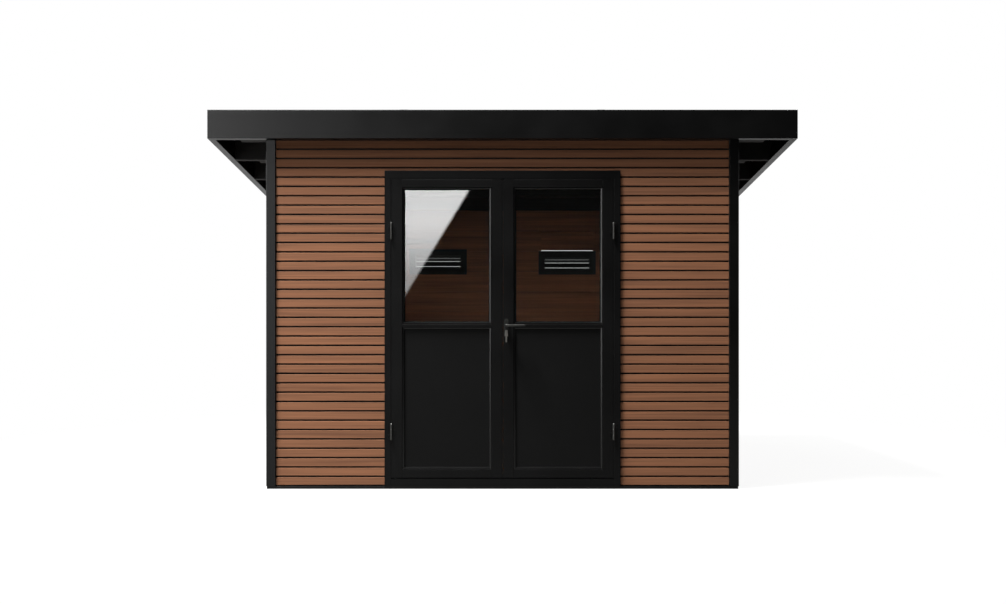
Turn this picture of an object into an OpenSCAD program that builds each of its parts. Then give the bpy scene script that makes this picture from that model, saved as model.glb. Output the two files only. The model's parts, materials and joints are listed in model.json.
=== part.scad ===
// Garden house with a pent roof, boarded walls and a half-glazed double door.
// Millimetres, +Z up, front towards -Y, origin on the ground at the middle of the floor.

/* [Body] */
// Width over the corner posts
body_w = 3000; // [2600:10:4000]
// Depth over the corner posts
body_d = 2400; // [1800:10:3200]
// Side of a square corner post
post_w = 60; // [58:1:90]
// Wall of the tube that a corner post is made of
tube_t = 3; // [2:0.5:5]
// Radius of a corner post's edges
post_edge_r = 3; // [2:0.5:5]
// Thickness of the boarded walls
wall_t = 44; // [32:1:46]
// How far the boards sit back from the face of the posts
board_setback = 12; // [4:1:12]

/* [Base] */
// Height of the base rails and of the floor between them
base_h = 17; // [12:1:40]
// How far the base rails sit back from the face of the posts
base_setback = 4; // [0:1:12]

/* [Roof] */
// Height of the wall between the door frame and the lower edge of the front fascia
over_door_h = 199; // [120:1:500]
// Fall of the roof towards the back, in degrees
roof_slope = 6.33; // [2:0.01:8]
// Height of the joists and main beams
joist_h = 140; // [90:1:200]
// Thickness of the roof deck
deck_t = 18; // [12:0.5:24]
// Thickness of the roofing sheet
membrane_t = 3; // [1:0.5:5]
// How far the fascia stands above the roofing sheet at the front and the sides
kerb_h = 15.6; // [4:0.1:60]
// Thickness of the fascia
fascia_t = 42; // [20:1:60]
// How far the roof runs out past the side posts
side_overhang = 362; // [240:1:480]
// Width of a joist, which runs from side fascia to side fascia
joist_w = 42; // [30:1:60]
// Width of a main beam, which carries the joist in front of it
beam_w = 60; // [40:1:80]
// How far the main beams stop short of the side fascia
beam_short = 155; // [40:1:190]
// Distance from the face of the front fascia to the first joist
joist_first = 572; // [400:1:640]
// Spacing of the joists
joist_pitch = 600; // [450:1:700]
// Fine joint where pieces meet on the slope
seat_gap = 0.2; // [0.1:0.05:0.4]

/* [Door frame] */
// Width over the door frame
door_w = 1496; // [1300:1:1700]
// Height of the door frame above the base rails
door_h = 2002; // [1900:1:2300]
// Width of a jamb as seen from the front
jamb_w = 40; // [30:1:60]
// Height of the frame head
head_h = 51; // [40:1:70]
// Height of the sill
sill_h = 48; // [20:1:60]
// Depth of the door frame from front to back
frame_depth = 75; // [70:1:100]
// How far the stop behind the leaves stands into the doorway
stop_w = 20; // [12:1:30]
// Play between a closed leaf and the stop
stop_play = 5; // [5:0.5:8]

/* [Door leaves] */
// Thickness of a leaf
leaf_t = 48; // [44:1:54]
// Gap round a leaf at the frame
edge_gap = 6; // [5:0.5:8]
// Gap between the two leaves
meeting_gap = 8; // [8:0.5:12]
// Width of a stile
stile_w = 66; // [56:1:90]
// Height of the top rail
top_rail_h = 48; // [40:1:80]
// Height of the bar between glass and panel
mid_rail_h = 18; // [16:1:60]
// Height of the bottom rail
bottom_rail_h = 52; // [40:1:100]
// Height of the lower panel
panel_h = 905; // [700:1:1000]
// Thickness of the lower panel
panel_t = 28; // [18:1:34]
// Thickness of the glass
glass_t = 6; // [4:1:12]
// Play round the glass and the panel in their openings
infill_play = 2; // [0.5:0.5:4]
// Width of a glazing bead at the glass
bead_w = 14; // [8:1:20]
// Width of a glazing bead at its face
bead_face_w = 3; // [2:0.5:6]
// How far a bead sits below the face of the leaf
bead_setback = 1.5; // [0.5:0.5:3]

/* [Hinges] */
// Radius of a hinge barrel
hinge_r = 7; // [6:0.5:9]
// Length of a hinge barrel
hinge_len = 100; // [80:1:140]
// Chamfer at the ends of a knuckle
knuckle_chamfer = 0.8; // [0.3:0.1:1.5]
// Radius of the hinge pin
pin_r = 4; // [3:0.5:4.5]
// Play of the pin in the knuckle on the leaf
pin_play = 0.05; // [0.02:0.01:0.1]
// Gap between neighbouring knuckles
knuckle_gap = 0.6; // [0.4:0.1:1]
// Clearance of the barrel in front of the leaf
barrel_gap = 1; // [0.5:0.5:2]
// Width of a hinge flag on the leaf or the jamb
flag_w = 24; // [18:1:28]
// Thickness of a hinge flag
flag_t = 3; // [2:0.5:4]
// Distance from the bottom of a leaf to the middle of its lower hinge
low_hinge_up = 292; // [200:1:450]
// Distance from the top of a leaf to the middle of its upper hinge
high_hinge_down = 325; // [200:1:450]

/* [Handle and lock] */
// Distance from the meeting edge of the leaf to the lever's axis
lever_inset = 20; // [18:1:34]
// Length of the lever from its axis to its tip
lever_len = 121; // [100:1:140]
// Radius of the bar that the lever is bent from
lever_r = 9; // [7:0.5:10]
// Radius of the lever's bend along the middle of the bar
bend_r = 16; // [12:1:20]
// How far the lever stands out from the leaf
lever_out = 60; // [54:1:70]
// Radius of the spindle through the leaf
spindle_r = 6; // [4:0.5:6]
// Clearance of the spindle in the leaf
spindle_gap = 1; // [0.5:0.5:2]
// Play of the lever in its backplate, and of the lock cylinder in plate and leaf
neck_play = 0.1; // [0.05:0.05:0.3]
// Width of a backplate
plate_w = 28; // [26:1:34]
// Height of a backplate
plate_h = 112; // [110:1:220]
// Thickness of a backplate
plate_t = 8; // [4:1:10]
// How far the middle of a backplate lies below the lever's axis
plate_drop = 12; // [12:1:18]
// Distance from the lever's axis down to the middle of the key plug
lock_drop = 34; // [30:1:36]
// Radius of the round part of the lock cylinder
lock_r = 8.5; // [8:0.5:9]
// Width of the tail of the lock cylinder
lock_tail_w = 10; // [8:0.5:11]
// Height of the lock cylinder
lock_h = 33; // [30:0.5:34]
// How far the lock cylinder stands out from a backplate
lock_out = 4; // [2:0.5:6]
// Width of the key's bow
bow_w = 22; // [18:1:26]
// Height of the key's bow
bow_h = 38; // [28:1:42]
// How far the bow reaches above the shank that it hangs on
bow_rise = 5; // [4:0.5:7]
// Radius of the shank
shank_r = 2.5; // [2:0.5:3]
// Width of the key's blade
blade_w = 10; // [7:0.5:11]
// Length of the key's blade below the bow
blade_len = 38; // [28:1:44]
// Thickness of the key
key_t = 2.5; // [2:0.5:4]
// How far the key hangs in front of the lock cylinder
key_out = 10; // [6:1:14]

/* [Vents] */
// Distance of a vent's middle from the middle of the back wall
vent_x = 541; // [400:1:800]
// Distance of a vent's middle below the top of the back wall
vent_drop = 431; // [250:1:600]
// Width of a vent's flange
vent_w = 480; // [420:1:600]
// Height of a vent's flange
vent_h = 212; // [190:1:260]
// Thickness of a vent's flange
flange_t = 6; // [3:1:10]
// Radius of a flange's corners
flange_corner_r = 8; // [4:1:16]
// Width of the open part of a vent
louvre_w = 370; // [200:1:380]
// Number of openings between the louvre blades of a vent
louvre_count = 3; // [2:1:3]
// Spacing of the louvre blades
louvre_pitch = 35; // [28:1:36]
// Clear height that shows between two blades
louvre_clear = 10; // [6:1:12]
// Thickness of a blade, measured upright
louvre_t = 5; // [3:0.5:6]
// Depth of a blade from front to back
louvre_depth = 30; // [20:1:32]
// Thickness of the sleeve that lines the wall
sleeve_t = 12; // [6:1:16]
// Play of the sleeve in the wall
sleeve_play = 1; // [0.5:0.5:3]

/* [Hidden] */
$fn = 48;

black_metal = "#1f2122";
black_timber = "#191a1a";
board_brown = "#9a6a4c";
door_black = "#18191a";
steel_grey = "#6f7274";
floor_brown = "#7d6752";
sheet_black = "#26272a";
glass_tint = "#c3d0d2";
// How far a cutting shape runs past the face that it cuts
cut_past = 1;

half_w = body_w / 2;
half_d = body_d / 2;
post_inner_x = half_w - post_w;
post_inner_y = half_d - post_w;
wall_face = half_d - board_setback;
side_wall_face = half_w - board_setback;

// The door frame and both leaves share the plane of the posts' front faces
face_y = -half_d;
frame_back_y = face_y + frame_depth;
door_half_w = door_w / 2;
frame_top_z = base_h + door_h;
head_z = frame_top_z - head_h;
sill_z = base_h + sill_h;
jamb_in_x = door_half_w - jamb_w;
stop_in_x = jamb_in_x - stop_w;
leaf_hinge_x = jamb_in_x - edge_gap;
leaf_meet_x = meeting_gap / 2;
leaf_low_z = sill_z + edge_gap;
leaf_high_z = head_z - edge_gap;
leaf_back_y = face_y + leaf_t;
stop_y = leaf_back_y + stop_play;
infill_y = face_y + leaf_t / 2;
opening_out_x = leaf_hinge_x - stile_w;
opening_in_x = leaf_meet_x + stile_w;
panel_low_z = leaf_low_z + bottom_rail_h;
panel_high_z = panel_low_z + panel_h;
glass_low_z = panel_high_z + mid_rail_h;
glass_high_z = leaf_high_z - top_rail_h;

front_eave_z = frame_top_z + over_door_h;
fall = tan(roof_slope);
roof_half_w = half_w + side_overhang;
roof_front_y = -half_d - fascia_t;
deck_half_w = roof_half_w - fascia_t;
beam_half_w = deck_half_w - beam_short;
deck_low = joist_h + seat_gap;
membrane_low = deck_low + deck_t + seat_gap;
membrane_high = membrane_low + membrane_t;
fascia_h = membrane_high + kerb_h;
member_w = joist_w + beam_w;
first_joist_y = roof_front_y + joist_first;
// A joist is left out where it would crowd the beam on the back wall
joist_rows = [for (y = first_joist_y; y < post_inner_y - 2 * member_w; y = y + joist_pitch) y];
bay_starts = concat([-post_inner_y], [for (y = joist_rows) y + member_w]);
bay_ends = concat(joist_rows, [post_inner_y]);

hinge_x = jamb_in_x - edge_gap / 2;
hinge_y = face_y - barrel_gap - hinge_r;
hinge_heights = [leaf_low_z + low_hinge_up, leaf_high_z - high_hinge_down];
knuckle_len = (hinge_len - 2 * knuckle_gap) / 3;

lever_x = leaf_meet_x + lever_inset;
// The lever is level with the bar between glass and panel
lever_z = panel_high_z + mid_rail_h / 2;
lock_z = lever_z - lock_drop;

vent_z = under(wall_face - wall_t) - vent_drop;
louvre_h = louvre_count * louvre_pitch;
louvre_fall = louvre_pitch - louvre_clear - louvre_t;
sleeve_w = louvre_w + 2 * sleeve_t;
sleeve_h = louvre_h + 2 * sleeve_t;
vent_hole_half_w = sleeve_w / 2 + sleeve_play;
vent_hole_low_z = vent_z - sleeve_h / 2 - sleeve_play;
vent_hole_high_z = vent_z + sleeve_h / 2 + sleeve_play;

// Height of the underside of the roof frame at a distance y from the middle
function under(y) = front_eave_z - fall * (y - roof_front_y);

module box(x, y, z) {
    translate([x[0], y[0], z[0]]) cube([x[1] - x[0], y[1] - y[0], z[1] - z[0]]);
}

// A prism along X with its outline given as [y, z] points
module prism_x(x, outline) {
    translate([x[0], 0, 0]) rotate([90, 0, 90]) linear_extrude(x[1] - x[0]) polygon(outline);
}

// A plumb-sided roof member that lies along the slope, from low to high above the frame's underside
module roof_bar(x, y, low, high) {
    prism_x(x, [
        [y[0], under(y[0]) + low], [y[1], under(y[1]) + low],
        [y[1], under(y[1]) + high], [y[0], under(y[0]) + high]
    ]);
}

// A post or wall that stands at height z and is cut off just under the roof frame
module to_roof(x, y, z) {
    prism_x(x, [[y[0], z], [y[1], z], [y[1], under(y[1]) - seat_gap], [y[0], under(y[0]) - seat_gap]]);
}

// A plate in the XZ plane between two values of y, from a flat shape drawn as x and z
module plate_y(y) {
    translate([0, y[1], 0]) rotate([90, 0, 0]) linear_extrude(y[1] - y[0]) children();
}

// A flat rectangle with round corners
module rounded(w, h, r) {
    square([w - 2 * r, h], center = true);
    square([w, h - 2 * r], center = true);
    for (x = [-1, 1], y = [-1, 1]) translate([x * (w / 2 - r), y * (h / 2 - r)]) circle(r = r);
}

module mirrored() {
    mirror([1, 0, 0]) children();
}

module both_sides() {
    children();
    mirrored() children();
}

// Base: rails under the walls, with the floor between them

module floor_panel() {
    color(floor_brown) box([-post_inner_x, post_inner_x], [-post_inner_y, post_inner_y], [0, base_h]);
}

module front_and_back_base_rails() {
    out_x = half_w - base_setback;
    out_y = half_d - base_setback;
    color(black_metal) {
        box([-out_x, out_x], [-out_y, -post_inner_y], [0, base_h]);
        box([-out_x, out_x], [post_inner_y, out_y], [0, base_h]);
    }
}

module side_base_rails() {
    out_x = half_w - base_setback;
    color(black_metal) both_sides() box([post_inner_x, out_x], [-post_inner_y, post_inner_y], [0, base_h]);
}

// Posts and walls

// A square tube, cut off along the slope; side_x and side_y are -1 or 1
module post(side_x, side_y) {
    x = side_x * (half_w - post_w / 2);
    y = side_y * (half_d - post_w / 2);
    color(black_metal) intersection() {
        to_roof([x - post_w / 2, x + post_w / 2], [y - post_w / 2, y + post_w / 2], base_h);
        translate([x, y, base_h - cut_past]) linear_extrude(front_eave_z) difference() {
            rounded(post_w, post_w, post_edge_r);
            square(post_w - 2 * tube_t, center = true);
        }
    }
}

module front_wall_left() {
    color(board_brown) to_roof([-post_inner_x, -door_half_w], [-wall_face, -wall_face + wall_t], base_h);
}

module front_wall_over_door() {
    color(board_brown) to_roof([-door_half_w, door_half_w], [-wall_face, -wall_face + wall_t], frame_top_z);
}

module left_wall() {
    color(board_brown)
        to_roof([-side_wall_face, -side_wall_face + wall_t], [-post_inner_y, post_inner_y], base_h);
}

module back_wall_lower() {
    color(board_brown)
        box([-post_inner_x, post_inner_x], [wall_face - wall_t, wall_face], [base_h, vent_hole_low_z]);
}

module back_wall_beside_vents() {
    y = [wall_face - wall_t, wall_face];
    z = [vent_hole_low_z, vent_hole_high_z];
    color(board_brown) {
        both_sides() box([vent_x + vent_hole_half_w, post_inner_x], y, z);
        box([-vent_x + vent_hole_half_w, vent_x - vent_hole_half_w], y, z);
    }
}

module back_wall_upper() {
    color(board_brown)
        to_roof([-post_inner_x, post_inner_x], [wall_face - wall_t, wall_face], vent_hole_high_z);
}

// A louvred vent through the back wall: a sleeve with a flange on each face, and blades that fall outwards
module vent(x) {
    inner_y = wall_face - wall_t;
    louvre_y = (inner_y + wall_face - louvre_depth) / 2;
    low_z = vent_z - louvre_h / 2;
    blade_half_w = louvre_w / 2 + sleeve_t / 2;
    color(black_metal) {
        for (y = [inner_y - flange_t, wall_face])
            plate_y([y, y + flange_t]) translate([x, vent_z]) difference() {
                rounded(vent_w, vent_h, flange_corner_r);
                square([louvre_w, louvre_h], center = true);
            }
        plate_y([inner_y - flange_t, wall_face + flange_t]) translate([x, vent_z]) difference() {
            square([sleeve_w, sleeve_h], center = true);
            square([louvre_w, louvre_h], center = true);
        }
        for (i = [0:louvre_count - 1]) {
            z = low_z + i * louvre_pitch + louvre_clear / 2;
            prism_x([x - blade_half_w, x + blade_half_w], [
                [louvre_y, z + louvre_fall], [louvre_y + louvre_depth, z],
                [louvre_y + louvre_depth, z + louvre_t], [louvre_y, z + louvre_fall + louvre_t]
            ]);
        }
    }
}

// Roof: beams and joists in one layer, closed round the edge by the fascia and covered by the deck

module main_roof_beams() {
    x = [-beam_half_w, beam_half_w];
    color(black_timber) {
        roof_bar(x, [-half_d, -post_inner_y], 0, joist_h);
        for (y = joist_rows) roof_bar(x, [y + joist_w, y + member_w], 0, joist_h);
        roof_bar(x, [post_inner_y, half_d], 0, joist_h);
    }
}

module roof_joists() {
    color(black_timber)
        for (y = joist_rows) roof_bar([-deck_half_w, deck_half_w], [y, y + joist_w], 0, joist_h);
}

// Boards on edge that close the gaps between the joists above the side walls
module eaves_blocking() {
    color(black_timber) both_sides()
        for (i = [0:len(bay_starts) - 1])
            roof_bar([side_wall_face - wall_t, side_wall_face], [bay_starts[i], bay_ends[i]], 0, joist_h);
}

module front_fascia() {
    color(black_metal) roof_bar([-roof_half_w, roof_half_w], [roof_front_y, -half_d], 0, fascia_h);
}

// The low edge has no kerb, so that water runs off over it
module back_fascia() {
    color(black_metal) roof_bar([-roof_half_w, roof_half_w], [half_d, half_d + fascia_t], 0, membrane_high);
}

module left_fascia() {
    color(black_metal) roof_bar([-roof_half_w, -deck_half_w], [-half_d, half_d], 0, fascia_h);
}

module roof_deck() {
    color(black_timber) roof_bar([-deck_half_w, deck_half_w], [-half_d, half_d], deck_low, deck_low + deck_t);
}

module roof_membrane() {
    color(sheet_black)
        roof_bar([-deck_half_w, deck_half_w], [-half_d, half_d], membrane_low, membrane_high);
}

// Door frame: rebated sections, so that each has the stop behind the leaves in one piece with it

module door_frame_jambs() {
    color(door_black) both_sides() {
        box([jamb_in_x, door_half_w], [face_y, frame_back_y], [base_h, head_z]);
        box([stop_in_x, jamb_in_x], [stop_y, frame_back_y], [sill_z, head_z]);
    }
}

module door_frame_head() {
    color(door_black) {
        box([-door_half_w, door_half_w], [face_y, frame_back_y], [head_z, frame_top_z]);
        box([-stop_in_x, stop_in_x], [stop_y, frame_back_y], [head_z - stop_w, head_z]);
    }
}

module door_frame_sill() {
    color(door_black) {
        box([-jamb_in_x, jamb_in_x], [face_y, frame_back_y], [base_h, sill_z]);
        box([-stop_in_x, stop_in_x], [stop_y, frame_back_y], [sill_z, sill_z + stop_w]);
    }
}

// Hinges: two knuckles and the pin on the frame, one knuckle on the leaf

module knuckle(z) {
    inner_r = hinge_r - knuckle_chamfer;
    h = knuckle_len;
    translate([hinge_x, hinge_y, z]) rotate_extrude() polygon([
        [0, 0], [inner_r, 0], [hinge_r, knuckle_chamfer],
        [hinge_r, h - knuckle_chamfer], [inner_r, h], [0, h]
    ]);
}

// A flat flag on the face of the door, with a web that reaches out to the knuckle
module hinge_flag(x, z) {
    box(x, [face_y - flag_t, face_y], z);
    box([max(x[0], hinge_x - flag_t), min(x[1], hinge_x + flag_t)], [hinge_y, face_y], z);
}

module frame_hinge_knuckles() {
    color(steel_grey) both_sides() for (z = hinge_heights) {
        low = z - hinge_len / 2;
        translate([hinge_x, hinge_y, low]) cylinder(r = pin_r, h = hinge_len);
        for (start = [low, low + hinge_len - knuckle_len]) {
            knuckle(start);
            hinge_flag([hinge_x, hinge_x + flag_w], [start, start + knuckle_len]);
        }
    }
}

// Door leaf, drawn as the right one; the left leaf is its mirror image

module leaf_stiles() {
    y = [face_y, leaf_back_y];
    z = [leaf_low_z, leaf_high_z];
    color(door_black) {
        box([leaf_meet_x, opening_in_x], y, z);
        box([opening_out_x, leaf_hinge_x], y, z);
    }
}

module leaf_rails() {
    x = [opening_in_x, opening_out_x];
    y = [face_y, leaf_back_y];
    color(door_black) {
        box(x, y, [leaf_low_z, panel_low_z]);
        box(x, y, [panel_high_z, glass_low_z]);
        box(x, y, [glass_high_z, leaf_high_z]);
    }
}

module leaf_infill(z, t) {
    box([opening_in_x + infill_play, opening_out_x - infill_play], [infill_y - t / 2, infill_y + t / 2],
        [z[0] + infill_play, z[1] - infill_play]);
}

module leaf_glass() {
    color(glass_tint) leaf_infill([glass_low_z, glass_high_z], glass_t);
}

module leaf_panel() {
    color(door_black) leaf_infill([panel_low_z, panel_high_z], panel_t);
}

// A ring of bevelled beads round an opening, from the face of the leaf at y[0] to the infill at y[1]
module bead_ring(z, y) {
    x = [opening_in_x, opening_out_x];
    difference() {
        box(x, [min(y), max(y)], z);
        hull() {
            bead_mouth(x, z, y[0], bead_face_w);
            bead_mouth(x, z, y[1], bead_w);
        }
    }
}

module bead_mouth(x, z, y, inset) {
    skin = 0.01;
    box([x[0] + inset, x[1] - inset], [y - skin, y + skin], [z[0] + inset, z[1] - inset]);
}

module leaf_beads() {
    front = face_y + bead_setback;
    back = leaf_back_y - bead_setback;
    glass_z = [glass_low_z, glass_high_z];
    panel_z = [panel_low_z, panel_high_z];
    color(door_black) {
        bead_ring(glass_z, [front, infill_y - glass_t / 2]);
        bead_ring(glass_z, [back, infill_y + glass_t / 2]);
        bead_ring(panel_z, [front, infill_y - panel_t / 2]);
        bead_ring(panel_z, [back, infill_y + panel_t / 2]);
    }
}

module leaf_hinge_knuckles() {
    color(steel_grey) for (z = hinge_heights) {
        low = z - knuckle_len / 2;
        difference() {
            union() {
                knuckle(low);
                hinge_flag([hinge_x - flag_w, hinge_x], [low, low + knuckle_len]);
            }
            translate([hinge_x, hinge_y, low - cut_past])
                cylinder(r = pin_r + pin_play, h = knuckle_len + 2 * cut_past);
        }
    }
}

module right_door_stiles() {
    color(door_black) difference() {
        leaf_stiles();
        plate_y([face_y - cut_past, leaf_back_y + cut_past]) {
            translate([lever_x, lever_z]) circle(r = spindle_r + spindle_gap);
            lock_outline(neck_play);
        }
    }
}

// Handle and lock on the right leaf

// The keyhole-shaped outline of a profile cylinder, grown by play all round
module lock_outline(play) {
    tail_z = lock_h - lock_r - lock_tail_w / 2;
    translate([lever_x, lock_z]) {
        circle(r = lock_r + play);
        translate([-lock_tail_w / 2 - play, -tail_z]) square([lock_tail_w + 2 * play, tail_z]);
        translate([0, -tail_z]) circle(r = lock_tail_w / 2 + play);
    }
}

// An upright bar with round ends, drawn as x and z
module long_round(w, h) {
    square([w, h - w], center = true);
    for (end = [-1, 1]) translate([0, end * (h - w) / 2]) circle(d = w);
}

module handle_backplates() {
    color(steel_grey) for (y = [face_y - plate_t, leaf_back_y])
        plate_y([y, y + plate_t]) difference() {
            translate([lever_x, lever_z - plate_drop]) long_round(plate_w, plate_h);
            translate([lever_x, lever_z]) circle(r = lever_r + neck_play);
            lock_outline(neck_play);
        }
}

module lock_cylinder() {
    reach = plate_t + lock_out;
    color(steel_grey) plate_y([face_y - reach, leaf_back_y + reach]) lock_outline(0);
}

// A key that hangs flat on a shank in front of the lock cylinder
module door_key() {
    lock_face_y = face_y - plate_t - lock_out;
    key_y = lock_face_y - key_out;
    bow_z = lock_z + bow_rise - bow_h / 2;
    color(steel_grey) {
        plate_y([key_y, lock_face_y]) translate([lever_x, lock_z]) circle(r = shank_r);
        plate_y([key_y, key_y + key_t]) translate([lever_x, bow_z]) {
            long_round(bow_w, bow_h);
            translate([-blade_w / 2, -bow_h / 2 - blade_len]) square([blade_w, bow_h / 2 + blade_len]);
        }
    }
}

// The outer half of the lever: a round bar bent from its neck into a level grip with a domed end
module lever_half() {
    grip_y = face_y - lever_out + lever_r;
    neck_end_y = grip_y + bend_r;
    grip_x = lever_x + bend_r;
    tip_x = lever_x + lever_len - lever_r;
    translate([lever_x, face_y, lever_z]) rotate([90, 0, 0]) cylinder(r = lever_r, h = face_y - neck_end_y);
    translate([grip_x, neck_end_y, lever_z]) rotate([0, 0, 180])
        rotate_extrude(angle = 90) translate([bend_r, 0]) circle(r = lever_r);
    translate([grip_x, grip_y, lever_z]) rotate([0, 90, 0]) cylinder(r = lever_r, h = tip_x - grip_x);
    translate([tip_x, grip_y, lever_z]) sphere(r = lever_r);
}

// One grip on each side of the leaf, joined by the spindle
module door_lever() {
    color(steel_grey) {
        lever_half();
        translate([0, 2 * infill_y, 0]) mirror([0, 1, 0]) lever_half();
        translate([lever_x, leaf_back_y + cut_past, lever_z])
            rotate([90, 0, 0]) cylinder(r = spindle_r, h = leaf_t + 2 * cut_past);
    }
}

floor_panel();
front_and_back_base_rails();
side_base_rails();
post(-1, -1);  // front_left_post
post(1, -1);  // front_right_post
post(-1, 1);  // back_left_post
post(1, 1);  // back_right_post
front_wall_left();
mirrored() front_wall_left();  // front_wall_right
front_wall_over_door();
left_wall();
mirrored() left_wall();  // right_wall
back_wall_lower();
back_wall_beside_vents();
back_wall_upper();
vent(-vent_x);  // left_vent
vent(vent_x);  // right_vent
main_roof_beams();
roof_joists();
eaves_blocking();
front_fascia();
back_fascia();
left_fascia();
mirrored() left_fascia();  // right_fascia
roof_deck();
roof_membrane();
door_frame_jambs();
door_frame_head();
door_frame_sill();
frame_hinge_knuckles();
mirrored() leaf_stiles();  // left_door_stiles
mirrored() leaf_rails();  // left_door_rails
mirrored() leaf_glass();  // left_door_glass
mirrored() leaf_panel();  // left_door_panel
mirrored() leaf_beads();  // left_door_beads
mirrored() leaf_hinge_knuckles();  // left_door_hinge_knuckles
right_door_stiles();
leaf_rails();  // right_door_rails
leaf_glass();  // right_door_glass
leaf_panel();  // right_door_panel
leaf_beads();  // right_door_beads
leaf_hinge_knuckles();  // right_door_hinge_knuckles
handle_backplates();
lock_cylinder();
door_key();
door_lever();
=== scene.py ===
import json
import math
import random

import bmesh
import bpy
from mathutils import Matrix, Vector

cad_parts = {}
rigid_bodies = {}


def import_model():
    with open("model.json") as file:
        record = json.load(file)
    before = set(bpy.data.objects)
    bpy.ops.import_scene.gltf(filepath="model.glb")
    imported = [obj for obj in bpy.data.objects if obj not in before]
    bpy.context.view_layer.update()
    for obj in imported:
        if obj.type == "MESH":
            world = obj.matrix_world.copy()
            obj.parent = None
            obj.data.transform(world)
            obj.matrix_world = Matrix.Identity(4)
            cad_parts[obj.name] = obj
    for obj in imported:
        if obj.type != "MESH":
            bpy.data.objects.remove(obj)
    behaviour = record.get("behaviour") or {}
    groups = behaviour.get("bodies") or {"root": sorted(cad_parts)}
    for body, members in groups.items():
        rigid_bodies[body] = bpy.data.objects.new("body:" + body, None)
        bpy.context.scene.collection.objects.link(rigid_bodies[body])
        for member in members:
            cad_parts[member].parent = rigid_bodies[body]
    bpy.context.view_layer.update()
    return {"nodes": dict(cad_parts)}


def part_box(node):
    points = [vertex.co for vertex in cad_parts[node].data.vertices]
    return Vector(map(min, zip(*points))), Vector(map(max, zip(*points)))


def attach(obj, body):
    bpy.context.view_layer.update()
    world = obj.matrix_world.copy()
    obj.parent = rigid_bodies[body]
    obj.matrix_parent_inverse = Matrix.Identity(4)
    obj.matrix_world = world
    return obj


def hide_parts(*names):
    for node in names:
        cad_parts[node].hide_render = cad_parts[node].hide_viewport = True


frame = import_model()

# Camera: the photograph is a level view from straight in front of the house, at half its height.
# Its focal length in pixels fits the spread of the roof joists and the height of the horizon.
photo_width = 1006
focal_pixels = 1143
sensor_width = 36
camera_place = (0.003, -8.45, 1.186)
camera_data = bpy.data.cameras.new("front_view")
camera_data.sensor_width = sensor_width
camera_data.lens = sensor_width * focal_pixels / photo_width
camera = bpy.data.objects.new("front_view", camera_data)
camera.location = camera_place
camera.rotation_euler = (math.radians(90), 0, 0)
bpy.context.collection.objects.link(camera)
bpy.context.scene.camera = camera
bpy.context.scene.view_settings.view_transform = "Standard"


# Base rails: flat aluminium sections under the four walls, laid on the ground, butted at the corners.
# They are powder coated black like the posts and the fascia.

def linear(hex_colour):
    """The linear colour of an sRGB hex value such as #1d1e1f"""
    parts = [int(hex_colour[i:i + 2], 16) / 255 for i in (1, 3, 5)]
    return [c / 12.92 if c <= 0.04045 else ((c + 0.055) / 1.055) ** 2.4 for c in parts] + [1]


def add_node(tree, kind, inputs, **settings):
    """One node with its settings; an input is a value or the socket that feeds it"""
    node = tree.nodes.new(kind)
    for name, value in settings.items():
        setattr(node, name, value)
    for socket, value in inputs.items():
        if isinstance(value, bpy.types.NodeSocket):
            tree.links.new(value, node.inputs[socket])
        else:
            node.inputs[socket].default_value = value
    return node


def new_material(name, values):
    """A material with one Principled shader, which is set to these values"""
    material = bpy.data.materials.new(name)
    material.use_nodes = True
    shader = material.node_tree.nodes["Principled BSDF"]
    for socket, value in values.items():
        shader.inputs[socket].default_value = value
    return material, material.node_tree, shader


# The middle of a rounded corner lies inside the sharp one by this share of its size, both ways
round_share = 0.29


def soften(outline, edge):
    """The outline with each corner rounded off by edge, as two short facets"""
    rounded = []
    for i, corner in enumerate(outline):
        corner = Vector(corner)
        before = (Vector(outline[i - 1]) - corner).normalized() * edge
        after = (Vector(outline[(i + 1) % len(outline)]) - corner).normalized() * edge
        rounded += [corner + before, corner + (before + after) * round_share, corner + after]
    return rounded


def rectangle(a, b):
    """The corners of a rectangle from a[0] to a[1] one way and b[0] to b[1] the other"""
    return [(a[0], b[0]), (a[1], b[0]), (a[1], b[1]), (a[0], b[1])]


def join_rings(mesh, rings, round_trip=False):
    """Faces from each ring of points to the next; both ends are closed, or joined on a round trip"""
    faces = []
    following = rings[1:]
    if round_trip:
        following = rings[1:] + rings[:1]
    else:
        faces += [mesh.faces.new(rings[0]), mesh.faces.new(rings[-1])]
    for ring, beyond in zip(rings, following):
        for i in range(len(ring)):
            faces.append(mesh.faces.new((ring[i - 1], ring[i], beyond[i], beyond[i - 1])))
    return faces


def add_prism(mesh, outline, along, start, end):
    """A closed bar along axis 0, 1 or 2, with its outline on the other two axes in order"""
    across = [axis for axis in range(3) if axis != along]
    rings = []
    for place in (start, end):
        ring = []
        for a, b in outline:
            point = Vector()
            point[along] = place
            point[across[0]] = a
            point[across[1]] = b
            ring.append(mesh.verts.new(point))
        rings.append(ring)
    return join_rings(mesh, rings)


def make_piece(name, mesh, material, smooth_under=None):
    """An object from a bmesh, smooth where faces meet at less than smooth_under degrees"""
    bmesh.ops.recalc_face_normals(mesh, faces=mesh.faces)
    data = bpy.data.meshes.new(name)
    mesh.to_mesh(data)
    mesh.free()
    data.materials.append(material)
    if smooth_under:
        data.shade_smooth()
        data.set_sharp_from_angle(angle=math.radians(smooth_under))
    piece = bpy.data.objects.new(name, data)
    bpy.context.collection.objects.link(piece)
    return piece


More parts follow.
